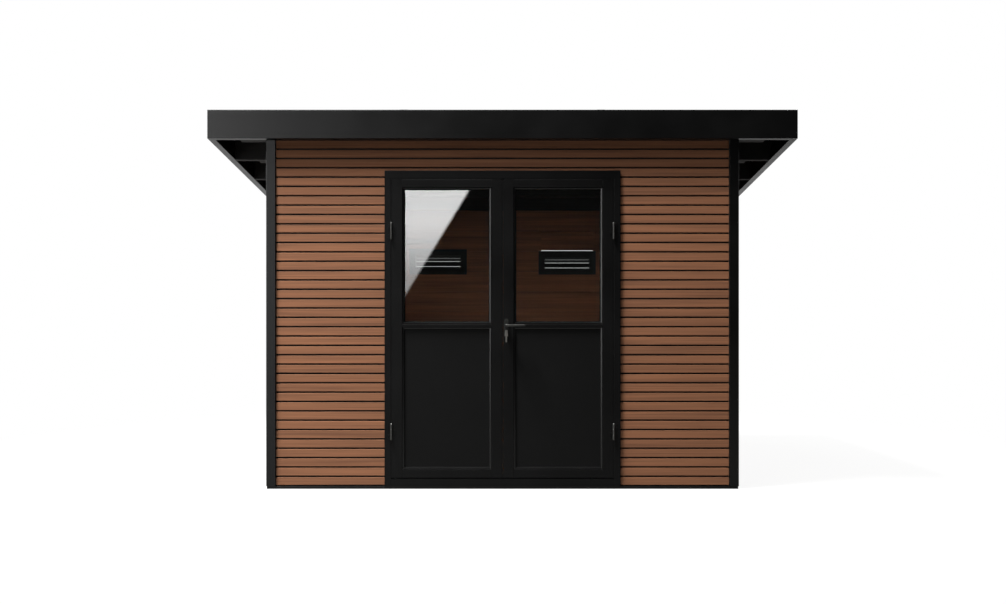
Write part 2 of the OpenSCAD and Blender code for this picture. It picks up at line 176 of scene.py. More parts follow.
def set_surface(tree, shader, tone, gloss, relief=None):
    """Leads the colour, the roughness and the bump of a shader from patterns

    tone: a pattern, and places on its ramp with their hex colours
    gloss: a pattern, the range of it that counts, and the roughness at both ends
    relief: a pattern, the strength of its bump and the height in metres
    """
    pattern, stops = tone
    ramp = add_node(tree, "ShaderNodeValToRGB", {"Fac": pattern})
    elements = ramp.color_ramp.elements
    for i, (position, colour) in enumerate((stops[0], stops[-1])):
        elements[i].position = position
        elements[i].color = linear(colour)
    for position, colour in stops[1:-1]:
        elements.new(position).color = linear(colour)
    tree.links.new(ramp.outputs["Color"], shader.inputs["Base Color"])
    pattern, (start, end), (first, last) = gloss
    rough = add_node(tree, "ShaderNodeMapRange", {
        "Value": pattern, "From Min": start, "From Max": end, "To Min": first, "To Max": last})
    tree.links.new(rough.outputs["Result"], shader.inputs["Roughness"])
    if relief:
        pattern, strength, height = relief
        bump = add_node(tree, "ShaderNodeBump", {
            "Height": pattern, "Strength": strength, "Distance": height})
        tree.links.new(bump.outputs["Normal"], shader.inputs["Normal"])


# Powder coat on aluminium: a baked polyester film with a fine orange-peel skin and a satin sheen.
# The real skin has cells of about 0.5 mm, drawn here at 3 mm so that they show.
# The sheen varies in soft patches.
peel_cell = 0.003
peel_height = 0.0003
sheen_patch = 0.3
sheen_range = (0.3, 0.7)


def coat_material(name, dark, light, specular, smoothest, roughest, peel_strength):
    """A black coat on metal, between two tones and two roughnesses"""
    material, tree, shader = new_material(name, {"IOR": 1.5, "Specular IOR Level": specular})
    place = add_node(tree, "ShaderNodeTexCoord", {}).outputs["Object"]
    patches = add_node(tree, "ShaderNodeTexNoise", {
        "Vector": place, "Scale": 1 / sheen_patch, "Detail": 3}).outputs["Fac"]
    peel = add_node(tree, "ShaderNodeTexNoise", {
        "Vector": place, "Scale": 1 / peel_cell, "Detail": 1}).outputs["Fac"]
    set_surface(
        tree, shader, tone=(patches, ((sheen_range[0], dark), (sheen_range[1], light))),
        gloss=(patches, sheen_range, (smoothest, roughest)), relief=(peel, peel_strength, peel_height))
    return material


powder_coat = coat_material(
    "black_powder_coated_aluminium", "#040404", "#060606",
    specular=0.35, smoothest=0.30, roughest=0.37, peel_strength=0.12)
rail_edge = 0.0015
ends_low, ends_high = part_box("front_and_back_base_rails")
sides_low, sides_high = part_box("side_base_rails")
base_top = ends_high.z
rail_z = (ends_low.z, base_top)
inner_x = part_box("floor_panel")[1].x
rails = bmesh.new()
for y in ((ends_low.y, sides_low.y), (sides_high.y, ends_high.y)):
    add_prism(rails, soften(rectangle(y, rail_z), rail_edge), 0, ends_low.x, ends_high.x)
for x in ((sides_low.x, -inner_x), (inner_x, sides_high.x)):
    add_prism(rails, soften(rectangle(x, rail_z), rail_edge), 1, sides_low.y, sides_high.y)
base_rails = make_piece("base_rails", rails, powder_coat)
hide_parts("front_and_back_base_rails", "side_base_rails")
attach(base_rails, "house")


# Floor: planed pine boards between the rails, tongued together, with a small bevel at each joint.
# Clear oil leaves the grain to see, and the boards differ in tone.

# Planed wood: a grain line runs on for many times its width, and wider bands of tone lie over the lines.
# Each board takes a part of the pattern far from the others, and its own shade.
# Dark lines are duller and lie a little lower than the pale wood beside them.
grain_run = 120
bands_per_metre = 0.9
band_share = 0.18
board_apart = 61.0
board_shade = 0.03
gloss_spread = 0.1
ridge_strength = 0.35


def wood_material(name, dark, middle, light, streak, sheen, roughness, relief):
    """Planed wood with its grain along each board; streak is the width of a grain line in metres"""
    # X + Y is the distance along any board, because boards run along X or along Y with the other fixed
    material, tree, shader = new_material(name, {"IOR": 1.5, "Specular IOR Level": sheen})
    place = add_node(tree, "ShaderNodeTexCoord", {}).outputs["Object"]
    axes = add_node(tree, "ShaderNodeSeparateXYZ", {"Vector": place})
    board = add_node(tree, "ShaderNodeAttribute", {}, attribute_name="board").outputs["Fac"]
    along = add_node(tree, "ShaderNodeMath", {
        0: axes.outputs["X"], 1: axes.outputs["Y"]}, operation="ADD")
    apart = add_node(tree, "ShaderNodeMath", {0: board, 1: board_apart}, operation="MULTIPLY")
    lines = add_node(tree, "ShaderNodeCombineXYZ", {
        "X": along.outputs["Value"], "Y": apart.outputs["Value"], "Z": axes.outputs["Z"]})
    fine = add_node(tree, "ShaderNodeMapping", {
        "Vector": lines.outputs["Vector"], "Scale": Vector((1 / (grain_run * streak), 1, 1 / streak))})
    wide = add_node(tree, "ShaderNodeMapping", {
        "Vector": lines.outputs["Vector"], "Scale": Vector((bands_per_metre, 1, band_share / streak))})
    streaks = add_node(tree, "ShaderNodeTexNoise", {
        "Vector": fine.outputs["Vector"], "Scale": 1, "Detail": 6, "Roughness": 0.72,
        "Distortion": 0.3}).outputs["Fac"]
    bands = add_node(tree, "ShaderNodeTexNoise", {
        "Vector": wide.outputs["Vector"], "Scale": 1, "Detail": 2, "Distortion": 0.6}).outputs["Fac"]
    grain = add_node(tree, "ShaderNodeMix", {"Factor": 0.4, "A": streaks, "B": bands}, data_type="FLOAT")
    shade = add_node(tree, "ShaderNodeMapRange", {
        "Value": board, "To Min": -board_shade, "To Max": board_shade})
    level = add_node(tree, "ShaderNodeMath", {
        0: grain.outputs["Result"], 1: shade.outputs["Result"]}, operation="ADD")
    set_surface(
        tree, shader, tone=(level.outputs["Value"], ((0.34, dark), (0.5, middle), (0.68, light))),
        gloss=(streaks, (0, 1), (roughness + gloss_spread, roughness - gloss_spread)),
        relief=(streaks, ridge_strength, relief))
    return material


def add_board(mesh, board_draw, outline, along, start, end):
    """One board, with its own number from 0 to 1 for its tone and grain"""
    number = mesh.faces.layers.float.get("board") or mesh.faces.layers.float.new("board")
    drawn = board_draw.random()
    for face in add_prism(mesh, outline, along, start, end):
        face[number] = drawn


# Oiled pine: sanded after planing and wiped with clear oil, which gives a soft shine and a honey tone.
# Its grain lines are 2 to 3 mm wide, drawn at 6 mm so that they show.
oiled_pine = wood_material(
    "oiled_pine_flooring", "#6f4f35", "#8a6848", "#a5845f",
    streak=0.006, sheen=0.5, roughness=0.5, relief=0.0003)
floor_low, floor_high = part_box("floor_panel")
floor_z = (floor_low.z, floor_high.z)
floor_count = 19
floor_pitch = (floor_high.y - floor_low.y) / floor_count
floor_gap = 0.0004
floor_edge = 0.002
floor_draw = random.Random(3)
floor = bmesh.new()
for i in range(floor_count):
    y = floor_low.y + i * floor_pitch
    outline = soften(rectangle((y, y + floor_pitch - floor_gap), floor_z), floor_edge)
    add_board(floor, floor_draw, outline, 0, floor_low.x, floor_high.x)
floor_boards = make_piece("floor_boards", floor, oiled_pine)
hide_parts("floor_panel")
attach(floor_boards, "house")


# Corner posts: square aluminium tubes that stand on the rails and are cut along the roof's slope.
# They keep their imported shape, which has the rounded edges and the open bore of the real section.
for name in ("front_left_post", "front_right_post", "back_left_post", "back_right_post"):
    post = frame["nodes"][name]
    post.material_slots[0].material = powder_coat


# Wall cladding: narrow boards of heat-treated pine, laid level with open joints on all four sides.
# Each board is planed, has eased edges and is fixed from behind, so that no nail shows.

def cut_round(start, end, low, high, holes):
    """The rectangles that are left of one board when the holes are cut out of it"""
    left = [(start, end, low, high)]
    for hole_start, hole_end, hole_low, hole_high in holes:
        pieces = left
        left = []
        for piece in pieces:
            start, end, low, high = piece
            if end <= hole_start or start >= hole_end or high <= hole_low or low >= hole_high:
                left.append(piece)
                continue
            if start < hole_start:
                left.append((start, hole_start, low, high))
            if end > hole_end:
                left.append((hole_end, end, low, high))
            between = (max(start, hole_start), min(end, hole_end))
            if high > hole_high:
                left.append((*between, hole_high, high))
            if low < hole_low:
                left.append((*between, low, hole_low))
    return left


roof_slope = math.radians(6.33)
wall_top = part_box("left_wall")[1].z
wall_top_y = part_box("left_wall")[0].y


def under_roof(y):
    """The height of the walls' top edge, which follows the roof"""
    return wall_top - math.tan(roof_slope) * (y - wall_top_y)


def trim_under_roof(mesh):
    """Cuts off what stands above the walls' top edge, and closes the cut"""
    upwards = Vector((0, math.sin(roof_slope), math.cos(roof_slope)))
    bmesh.ops.bisect_plane(
        mesh, geom=mesh.verts[:] + mesh.edges[:] + mesh.faces[:], dist=1e-6,
        plane_co=(0, wall_top_y, wall_top), plane_no=upwards, clear_outer=True)
    bmesh.ops.holes_fill(mesh, edges=[edge for edge in mesh.edges if edge.is_boundary])


# Heat-treated pine: an oven turns it brown right through, and the planer leaves fine ridges along it.
# The eye sees dull brown boards, streaked with lines of 2 to 3 mm that are drawn at 7.5 mm to show.
cladding_wood = wood_material(
    "heat_treated_pine_cladding", "#714931", "#8e5e40", "#a46d4b",
    streak=0.0075, sheen=0.5, roughness=0.62, relief=0.0005)
joint = 0.0115
end_gap = 0.002
first_joint = 0.0185
cladding_pitch = 0.05943
cladding_t = 0.021
cladding_edge = 0.0008
front_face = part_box("front_wall_left")[0].y
side_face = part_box("left_wall")[0].x
door_low, door_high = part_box("door_frame_jambs")
door_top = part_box("door_frame_head")[1].z
vent_hole_low, vent_hole_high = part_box("back_wall_beside_vents")
sleeve_half_w = 0.198
# The wall is cut too high over the right vent, so a line of daylight shows above its flange.
# The foot of that slit lies behind the flange.
slit_h = 0.005
slit_drop = 0.0087
slit_half_w = 0.217
slit_foot = 0.002
doorway = (door_low.x - end_gap, door_high.x + end_gap, base_top, door_top + end_gap)
vent_middles = [sum(corner.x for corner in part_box(name)) / 2 for name in ("left_vent", "right_vent")]
vent_holes = []
for middle in vent_middles:
    vent_holes.append((middle - sleeve_half_w, middle + sleeve_half_w, vent_hole_low.z, vent_hole_high.z))
slit_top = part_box("right_vent")[1].z - slit_drop
slit_x = (vent_middles[1] - slit_half_w, vent_middles[1] + slit_half_w)
vent_holes.append((*slit_x, slit_top - slit_h - slit_foot, slit_top))
# Each wall: the axis its boards run along, its outer face, the way in, how far it reaches, its holes
walls = {
    "front": (0, front_face, 1, inner_x, [doorway]),
    "back": (0, -front_face, -1, inner_x, vent_holes),
    "left": (1, side_face, 1, floor_high.y, []),
    "right": (1, -side_face, -1, floor_high.y, []),
}
wall_nodes = {
    "front": ("front_wall_left", "front_wall_right", "front_wall_over_door"),
    "back": ("back_wall_lower", "back_wall_beside_vents", "back_wall_upper"),
    "left": ("left_wall",),
    "right": ("right_wall",),
}
cladding_draw = random.Random(11)
for side, (along, face, inwards, reach, holes) in walls.items():
    boards = bmesh.new()
    depth = sorted((face, face + inwards * cladding_t))
    low = first_joint
    while low < wall_top:
        board_z = (low + joint / 2, low + cladding_pitch - joint / 2)
        rows = cut_round(end_gap - reach, reach - end_gap, *board_z, holes)
        drawn = cladding_draw.random()
        for start, end, board_low, board_high in rows:
            outline = soften(rectangle(depth, (board_low, board_high)), cladding_edge)
            add_board(boards, random.Random(drawn), outline, along, start, end)
        low += cladding_pitch
    trim_under_roof(boards)
    cladding = make_piece(f"{side}_cladding", boards, cladding_wood)
    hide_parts(*wall_nodes[side])
    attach(cladding, "house")


# Wall core: black-stained sheathing behind the open joints; its black also stands in as painted shade,
# so that the joints read as dark lines. It carries the cladding outside and the lining inside.

# Black-stained timber: planed softwood brushed with thin black stain, which leaves it dull.
# The grain of 2 to 3 mm, drawn at 6 mm, still shows as a faint change of tone.
black_timber = wood_material(
    "black_stained_timber", "#0b0a0a", "#121110", "#1c1a18",
    streak=0.006, sheen=0.4, roughness=0.72, relief=0.0004)
core_t = 0.012
core = bmesh.new()
core_draw = random.Random(5)
for along, face, inwards, reach, holes in walls.values():
    depth = sorted((face + inwards * cladding_t, face + inwards * (cladding_t + core_t)))
    for start, end, low, high in cut_round(-reach, reach, base_top, wall_top, holes):
        add_board(core, core_draw, rectangle(depth, (low, high)), along, start, end)
trim_under_roof(core)
# The core shows only in the joints, where its black is partly painted shade
wall_core = make_piece("wall_core", core, black_timber)
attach(wall_core, "house")


# Lining: wide tongued boards of the same heat-treated pine on the inside of all four walls.
# A narrow bevel marks each joint; the first board above the floor is cut narrow.

# Lining wood: the pine of the cladding, planed finer for indoors and left without oil.
# Its ridges are lower, and it has less sheen.
lining_wood = wood_material(
    "heat_treated_pine_lining", "#683d24", "#83502f", "#985d38",
    streak=0.0075, sheen=0.3, roughness=0.6, relief=0.0003)
wall_t = 0.044
lining_pitch = 0.1685
first_lining_joint = 0.092
lining_edge = 0.003
lining_gap = 0.0005
lining_draw = random.Random(23)
for side, (along, face, inwards, reach, holes) in walls.items():
    boards = bmesh.new()
    depth = sorted((face + inwards * (cladding_t + core_t), face + inwards * wall_t))
    low = first_lining_joint - lining_pitch
    while low < wall_top:
        board_low = max(low, base_top) + lining_gap
        for start, end, piece_low, piece_high in cut_round(
                end_gap - reach, reach - end_gap, board_low, low + lining_pitch, holes):
            outline = soften(rectangle(depth, (piece_low, piece_high)), lining_edge)
            add_board(boards, lining_draw, outline, along, start, end)
        low += lining_pitch
    trim_under_roof(boards)
    lining = make_piece(f"{side}_lining", boards, lining_wood)
    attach(lining, "house")


# Vents: one louvred grille each, moulded in black polypropylene and screwed to lining and cladding.
# A sleeve passes through the wall, with a flange on each face and blades that fall outwards to shed rain.

def add_turned(mesh, foot, axis, out, profile, sides):
    """A closed turned part on a point, along an axis; the profile gives radius and height above it"""
    across = [other for other in range(3) if other != axis]
    rings = []
    for radius, rise in profile:
        ring = []
        for i in range(sides):
            angle = 2 * math.pi * i / sides
            point = Vector(foot)
            point[axis] += out * rise
            point[across[0]] += math.cos(angle) * radius
            point[across[1]] += math.sin(angle) * radius
            ring.append(mesh.verts.new(point))
        rings.append(ring)
    join_rings(mesh, rings)


def add_ring(mesh, x, z, profile):
    """A mitred frame round the rectangle x, z; the profile gives how far in from it, and y"""
    rings = []
    for inset, y in profile:
        corners = rectangle((x[0] + inset, x[1] - inset), (z[0] + inset, z[1] - inset))
        rings.append([mesh.verts.new((a, y, b)) for a, b in corners])
    join_rings(mesh, rings, round_trip=True)


# A screw's head in shares of its radius: out from the axis and up from the face, to the sunk socket
screw_shares = ((1, 0), (0.98, 0.35), (0.8, 0.55), (0.42, 0.55), (0.42, 0.2))
screw_sides = 12
# Faces that meet at less than this many degrees are shaded as one round surface
round_angle = 40


def add_screw(mesh, head, axis, out, radius):
    """A low round head with a sunk socket, on a face at head, standing out along the axis"""
    profile = [(radius * share, radius * rise) for share, rise in screw_shares]
    add_turned(mesh, head, axis, out, profile, screw_sides)


# Moulded polypropylene: a fine spark-eroded texture of about 0.2 mm, drawn at 2 mm, and a dull sheen.
spark_grain = 0.002
spark_depth = 0.0003
fade_patch = 0.12
vent_plastic, tree, shader = new_material("moulded_black_polypropylene", {"IOR": 1.49})
place = add_node(tree, "ShaderNodeTexCoord", {}).outputs["Object"]
sparks = add_node(tree, "ShaderNodeTexNoise", {
    "Vector": place, "Scale": 1 / spark_grain, "Detail": 2}).outputs["Fac"]
fade = add_node(tree, "ShaderNodeTexNoise", {
    "Vector": place, "Scale": 1 / fade_patch, "Detail": 2}).outputs["Fac"]
set_surface(
    tree, shader, tone=(fade, ((0, "#0b0b0b"), (1, "#171716"))),
    gloss=(sparks, (0, 1), (0.5, 0.68)), relief=(sparks, 0.2, spark_depth))

vent_screw_r = 0.005
vent_screw_inset = 0.018
flange_t = 0.006
flange_w = 0.0535
flange_edge = 0.002
sleeve_t = 0.012
louvre_half_w = 0.191
louvre_depth = 0.030
louvre_t = 0.004
# The height that each blade hides, below or above the middle of the vent; the slits lie between
louvre_bands = ((-0.0575, -0.0445), (-0.0415, -0.0030), (0.0000, 0.0238), (0.02555, 0.0525))
# How much higher each vent's blades were set, and how far its flange stops short of its solid's top
blade_rise = {"left_vent": 0.0055, "right_vent": -0.0068}
flange_drop = {"left_vent": 0, "right_vent": slit_drop + slit_h}
screws = bmesh.new()
for name in ("left_vent", "right_vent"):
    low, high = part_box(name)
    middle_x = (low.x + high.x) / 2
    blade_z = (low.z + high.z) / 2 + blade_rise[name]
    moulding = bmesh.new()
    vent_x = (low.x, high.x)
    vent_z = (low.z, high.z - flange_drop[name])
    for face, wall_side in ((low.y, low.y + flange_t), (high.y, high.y - flange_t)):
        eased = face + math.copysign(flange_edge, wall_side - face)
        add_ring(moulding, vent_x, vent_z, [
            (0, wall_side), (0, eased), (flange_edge, face), (flange_w - flange_edge, face),
            (flange_w, eased), (flange_w, wall_side)])
    sleeve_x = (vent_x[0] + flange_w - sleeve_t, vent_x[1] - flange_w + sleeve_t)
    sleeve_z = (vent_z[0] + flange_w - sleeve_t, vent_z[1] - flange_w + sleeve_t)
    sleeve_y = (low.y + flange_t, high.y - flange_t)
    add_ring(moulding, sleeve_x, sleeve_z, [
        (0, sleeve_y[0]), (0, sleeve_y[1]), (sleeve_t, sleeve_y[1]), (sleeve_t, sleeve_y[0])])
    blade_y = (low.y + high.y - louvre_depth) / 2
    for band_low, band_high in louvre_bands:
        thick = min(louvre_t, (band_high - band_low) / 2)
        blade = [(blade_y, blade_z + band_high - thick), (blade_y + louvre_depth, blade_z + band_low),
                 (blade_y + louvre_depth, blade_z + band_low + thick), (blade_y, blade_z + band_high)]
        add_prism(moulding, blade, 0, middle_x - louvre_half_w, middle_x + louvre_half_w)
    grille = make_piece(f"{name}_grille", moulding, vent_plastic)
    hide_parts(name)
    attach(grille, "house")
    for y, out in ((low.y, -1), (high.y, 1)):
        for x in (low.x + vent_screw_inset, middle_x, high.x - vent_screw_inset):
            for z in (vent_z[0] + vent_screw_inset, vent_z[1] - vent_screw_inset):
                add_screw(screws, (x, y, z), 1, out, vent_screw_r)
vent_screws = make_piece("vent_screws", screws, vent_plastic, round_angle)
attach(vent_screws, "house")


# Roof timbers: main beams on the walls, joists that run out to the side fascia, and blocking between.
# All are planed softwood with eased edges, stained black, and lie along the slope.

def on_slope(y, low, high, edge=0):
    """The section of a bar along the roof with plumb sides, low to high above the walls' top edge"""
    corners = [(across, under_roof(across) + up) for across, up in rectangle(y, (low, high))]
    return soften(corners, edge) if edge else corners


timber_edge = 0.003
seat_gap = 0.0002
timber_h = 0.140
beam_w = 0.060
joist_w = 0.042
joist_pitch = 0.600
joist_count = 3
beam_low, beam_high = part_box("main_roof_beams")
joist_low, joist_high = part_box("roof_joists")
blocking_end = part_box("eaves_blocking")[1].x
joist_rows = [joist_low.y + i * joist_pitch for i in range(joist_count)]
timber_draw = random.Random(31)
timber_z = (seat_gap, seat_gap + timber_h)
beams = bmesh.new()
beam_rows = [beam_low.y] + [y + joist_w for y in joist_rows] + [beam_high.y - beam_w]
for y in beam_rows:
    outline = on_slope((y, y + beam_w), *timber_z, timber_edge)
    add_board(beams, timber_draw, outline, 0, beam_low.x, beam_high.x)
roof_beams = make_piece("roof_beams", beams, black_timber)
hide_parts("main_roof_beams")
joists = bmesh.new()
for y in joist_rows:
    outline = on_slope((y, y + joist_w), *timber_z, timber_edge)
    add_board(joists, timber_draw, outline, 0, joist_low.x, joist_high.x)
joist_timbers = make_piece("joist_timbers", joists, black_timber)
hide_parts("roof_joists")
blocking = bmesh.new()
for start, end in zip(beam_rows, joist_rows + [beam_rows[-1]]):
    outline = on_slope((start + beam_w, end), *timber_z, timber_edge)
    for x in ((-blocking_end, wall_t - blocking_end), (blocking_end - wall_t, blocking_end)):
        add_board(blocking, timber_draw, outline, 0, *x)
blocking_boards = make_piece("blocking_boards", blocking, black_timber)
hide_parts("eaves_blocking")
for piece in (roof_beams, joist_timbers, blocking_boards):
    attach(piece, "house")


# Roof deck: black-stained softwood boards nailed on the joists, seen from below under the overhang.
# They lie edge to edge without a joint that shows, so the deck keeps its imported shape.
deck = frame["nodes"]["roof_deck"]
deck.material_slots[0].material = black_timber


# Fascia: folded aluminium sections all round the roof, with a rolled lower edge that throws off rain.
# The front and the sides stand up above the roofing as a kerb.
# Caps close the kerb, with cover strips on their joints.
fascia_edge = 0.0015
fascia_low, fascia_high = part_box("front_fascia")
back_low, back_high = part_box("back_fascia")
left_low, left_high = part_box("left_fascia")
fascia_fall = (fascia_high.y - fascia_low.y) * math.tan(roof_slope)
fascia_h = fascia_high.z - fascia_low.z - fascia_fall
back_h = back_high.z - back_low.z - fascia_fall
front_x = (fascia_low.x, fascia_high.x)
front_y = (fascia_low.y, fascia_high.y)
left_x = (left_low.x, left_high.x)
right_x = (-left_high.x, -left_low.x)
side_y = (left_low.y, left_high.y)
for name, x, y, height in (
        ("front_fascia", front_x, front_y, fascia_h),
        ("back_fascia", (back_low.x, back_high.x), (back_low.y, back_high.y), back_h),
        ("left_fascia", left_x, side_y, fascia_h),
        ("right_fascia", right_x, side_y, fascia_h)):
    section = bmesh.new()
    add_prism(section, on_slope(y, seat_gap, seat_gap + height, fascia_edge), 0, *x)
    fascia = make_piece(f"{name}_section", section, powder_coat)
    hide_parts(name)
    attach(fascia, "house")

cap_t = 0.004
cap_edge = 0.0012
cover_w = 0.050
cover_t = 0.0005
cover_edge = 0.0002
front_joints = 2
kerb_top = seat_gap + fascia_h
cap_z = (kerb_top, kerb_top + cap_t)
cover_z = (cap_z[1], cap_z[1] + cover_t)
side_cap_y = (front_y[1], side_y[1])
side_cover_y = (sum(side_cap_y) / 2 - cover_w / 2, sum(side_cap_y) / 2 + cover_w / 2)
caps = bmesh.new()
add_prism(caps, on_slope(front_y, *cap_z, cap_edge), 0, *front_x)
for i in range(1, front_joints + 1):
    joint_x = front_x[0] + (front_x[1] - front_x[0]) * i / (front_joints + 1)
    cover = on_slope(front_y, *cover_z, cover_edge)
    add_prism(caps, cover, 0, joint_x - cover_w / 2, joint_x + cover_w / 2)
for x in (left_x, right_x):
    add_prism(caps, on_slope(side_cap_y, *cap_z, cap_edge), 0, *x)
    add_prism(caps, on_slope(side_cover_y, *cover_z, cover_edge), 0, *x)
kerb_caps = make_piece("kerb_caps", caps, powder_coat)
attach(kerb_caps, "house")


# Roofing: a layer of black synthetic rubber sheet, glued to the deck, welded where two lengths overlap.
# A strip of the same sheet is turned up against the kerb along the front and the sides.

# Rubber sheet: rolled on cloth, which leaves a weave mark of about 1 mm, drawn at 4 mm, on a dull skin.
# A bloom of pale dust lies on it in patches.
weave_mark = 0.004
weave_depth = 0.0004
dust_patch = 0.6
rubber_sheet, tree, shader = new_material("synthetic_rubber_roofing", {"IOR": 1.5})
place = add_node(tree, "ShaderNodeTexCoord", {}).outputs["Object"]
marks = add_node(tree, "ShaderNodeTexVoronoi", {
    "Vector": place, "Scale": 1 / weave_mark}).outputs["Distance"]
dust = add_node(tree, "ShaderNodeTexNoise", {
    "Vector": place, "Scale": 1 / dust_patch, "Detail": 5, "Roughness": 0.6}).outputs["Fac"]
set_surface(
    tree, shader, tone=(dust, ((0.35, "#222326"), (0.75, "#37373a"))),
    gloss=(dust, (0, 1), (0.66, 0.9)), relief=(marks, 0.2, weave_depth))

sheet_low, sheet_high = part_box("roof_membrane")
sheet_t = 0.003
sheet_drop = 0.0156
overlap_w = 0.060
overlap_t = 0.002
sheet_count = 3
upstand_h = 0.012
sheet_x = (sheet_low.x, sheet_high.x)
sheet_y = (sheet_low.y, sheet_high.y)
sheet_w = (sheet_high.x - sheet_low.x) / sheet_count
sheet_top = kerb_top - sheet_drop
upstand_z = (sheet_top, sheet_top + upstand_h)
upstand_back = sheet_low.y + overlap_t
sheet = bmesh.new()
add_prism(sheet, on_slope(sheet_y, sheet_top - sheet_t, sheet_top), 0, *sheet_x)
for i in range(1, sheet_count):
    seam = sheet_low.x + i * sheet_w
    weld = on_slope(sheet_y, sheet_top, sheet_top + overlap_t)
    add_prism(sheet, weld, 0, seam - overlap_w / 2, seam + overlap_w / 2)
add_prism(sheet, on_slope((sheet_low.y, upstand_back), *upstand_z), 0, *sheet_x)
for x in ((sheet_low.x, sheet_low.x + overlap_t), (sheet_high.x - overlap_t, sheet_high.x)):
    add_prism(sheet, on_slope((upstand_back, sheet_high.y), *upstand_z), 0, *x)
roofing = make_piece("roofing_sheet", sheet, rubber_sheet)
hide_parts("roof_membrane")
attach(roofing, "house")


# Door frame: extruded aluminium sections with a rebate for the leaves, screwed between the wall ends.
# The sill is a threshold section with ribs on top, and a rubber seal runs round the stop.

# Satin powder coat: the same film as on the posts but finer, so its sheen is weaker and more even.
door_coat = coat_material(
    "satin_black_powder_coat", "#050505", "#070707",
    specular=0.2, smoothest=0.36, roughest=0.44, peel_strength=0.06)

door_edge = 0.0015
jamb_w = 0.040
stop_w = 0.020
stop_depth = 0.053
head_low, head_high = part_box("door_frame_head")
sill_low, sill_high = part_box("door_frame_sill")
door_face = door_low.y
frame_back = door_high.y
stop_y = door_face + stop_depth
jamb_in = door_high.x - jamb_w
stop_in = jamb_in - stop_w
head_underside = door_high.z
sill_top = sill_high.z - stop_w
jambs = bmesh.new()
for side in (-1, 1):
    outline = [(jamb_in, door_face), (door_high.x, door_face), (door_high.x, frame_back),
               (stop_in, frame_back), (stop_in, stop_y), (jamb_in, stop_y)]
    outline = soften([(side * x, y) for x, y in outline], door_edge)
    add_prism(jambs, outline, 2, base_top, head_underside)
frame_jambs = make_piece("frame_jambs", jambs, door_coat)
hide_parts("door_frame_jambs")
head = bmesh.new()
head_bar = soften(rectangle((door_face, frame_back), (head_underside, door_top)), door_edge)
add_prism(head, head_bar, 0, head_low.x, head_high.x)
head_stop = soften(rectangle((stop_y, frame_back), (head_low.z, head_underside)), door_edge)
add_prism(head, head_stop, 0, -stop_in, stop_in)
frame_head = make_piece("frame_head", head, door_coat)
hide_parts("door_frame_head")
first_rib = 0.010
rib_pitch = 0.008
rib_h = 0.0015
rib_count = 4
sill = bmesh.new()
ribbed = [(door_face, base_top), (frame_back, base_top), (frame_back, sill_top)]
for i in reversed(range(rib_count)):
    rib = door_face + first_rib + i * rib_pitch
    ribbed += [(rib + rib_pitch / 2, sill_top), (rib + rib_pitch / 2, sill_top - rib_h),
               (rib, sill_top - rib_h), (rib, sill_top)]
add_prism(sill, ribbed + [(door_face, sill_top)], 0, sill_low.x, sill_high.x)
sill_stop = soften(rectangle((stop_y, frame_back), (sill_top, sill_high.z)), door_edge)
add_prism(sill, sill_stop, 0, -stop_in, stop_in)
frame_sill = make_piece("frame_sill", sill, door_coat)
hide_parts("door_frame_sill")
for piece in (frame_jambs, frame_head, frame_sill):
    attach(piece, "house")


# Extruded rubber: pressed through a die, which leaves faint marks of about 1 mm on a dull black skin.
# A grey bloom lies on it in small patches.
die_mark = 0.001
die_depth = 0.0002
bloom_patch = 0.05
seal_rubber, tree, shader = new_material("extruded_rubber_seal", {"IOR": 1.5, "Specular IOR Level": 0.08})
place = add_node(tree, "ShaderNodeTexCoord", {}).outputs["Object"]
bloom = add_node(tree, "ShaderNodeTexNoise", {
    "Vector": place, "Scale": 1 / bloom_patch, "Detail": 3}).outputs["Fac"]
dies = add_node(tree, "ShaderNodeTexNoise", {
    "Vector": place, "Scale": 1 / die_mark, "Detail": 1}).outputs["Fac"]
set_surface(
    tree, shader, tone=(bloom, ((0, "#080808"), (1, "#131313"))),
    gloss=(bloom, (0, 1), (0.65, 0.85)), relief=(dies, 0.1, die_depth))

seal_w = 0.008
seal_out = 0.003
seal_inset = 0.006
seal_flank = 0.002
seal = bmesh.new()
add_ring(seal, (-jamb_in, jamb_in), (sill_top, head_underside), [
    (seal_inset, stop_y), (seal_inset + seal_flank, stop_y - seal_out),
    (seal_inset + seal_w - seal_flank, stop_y - seal_out), (seal_inset + seal_w, stop_y)])
frame_seal = make_piece("frame_seal", seal, seal_rubber)
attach(frame_seal, "house")


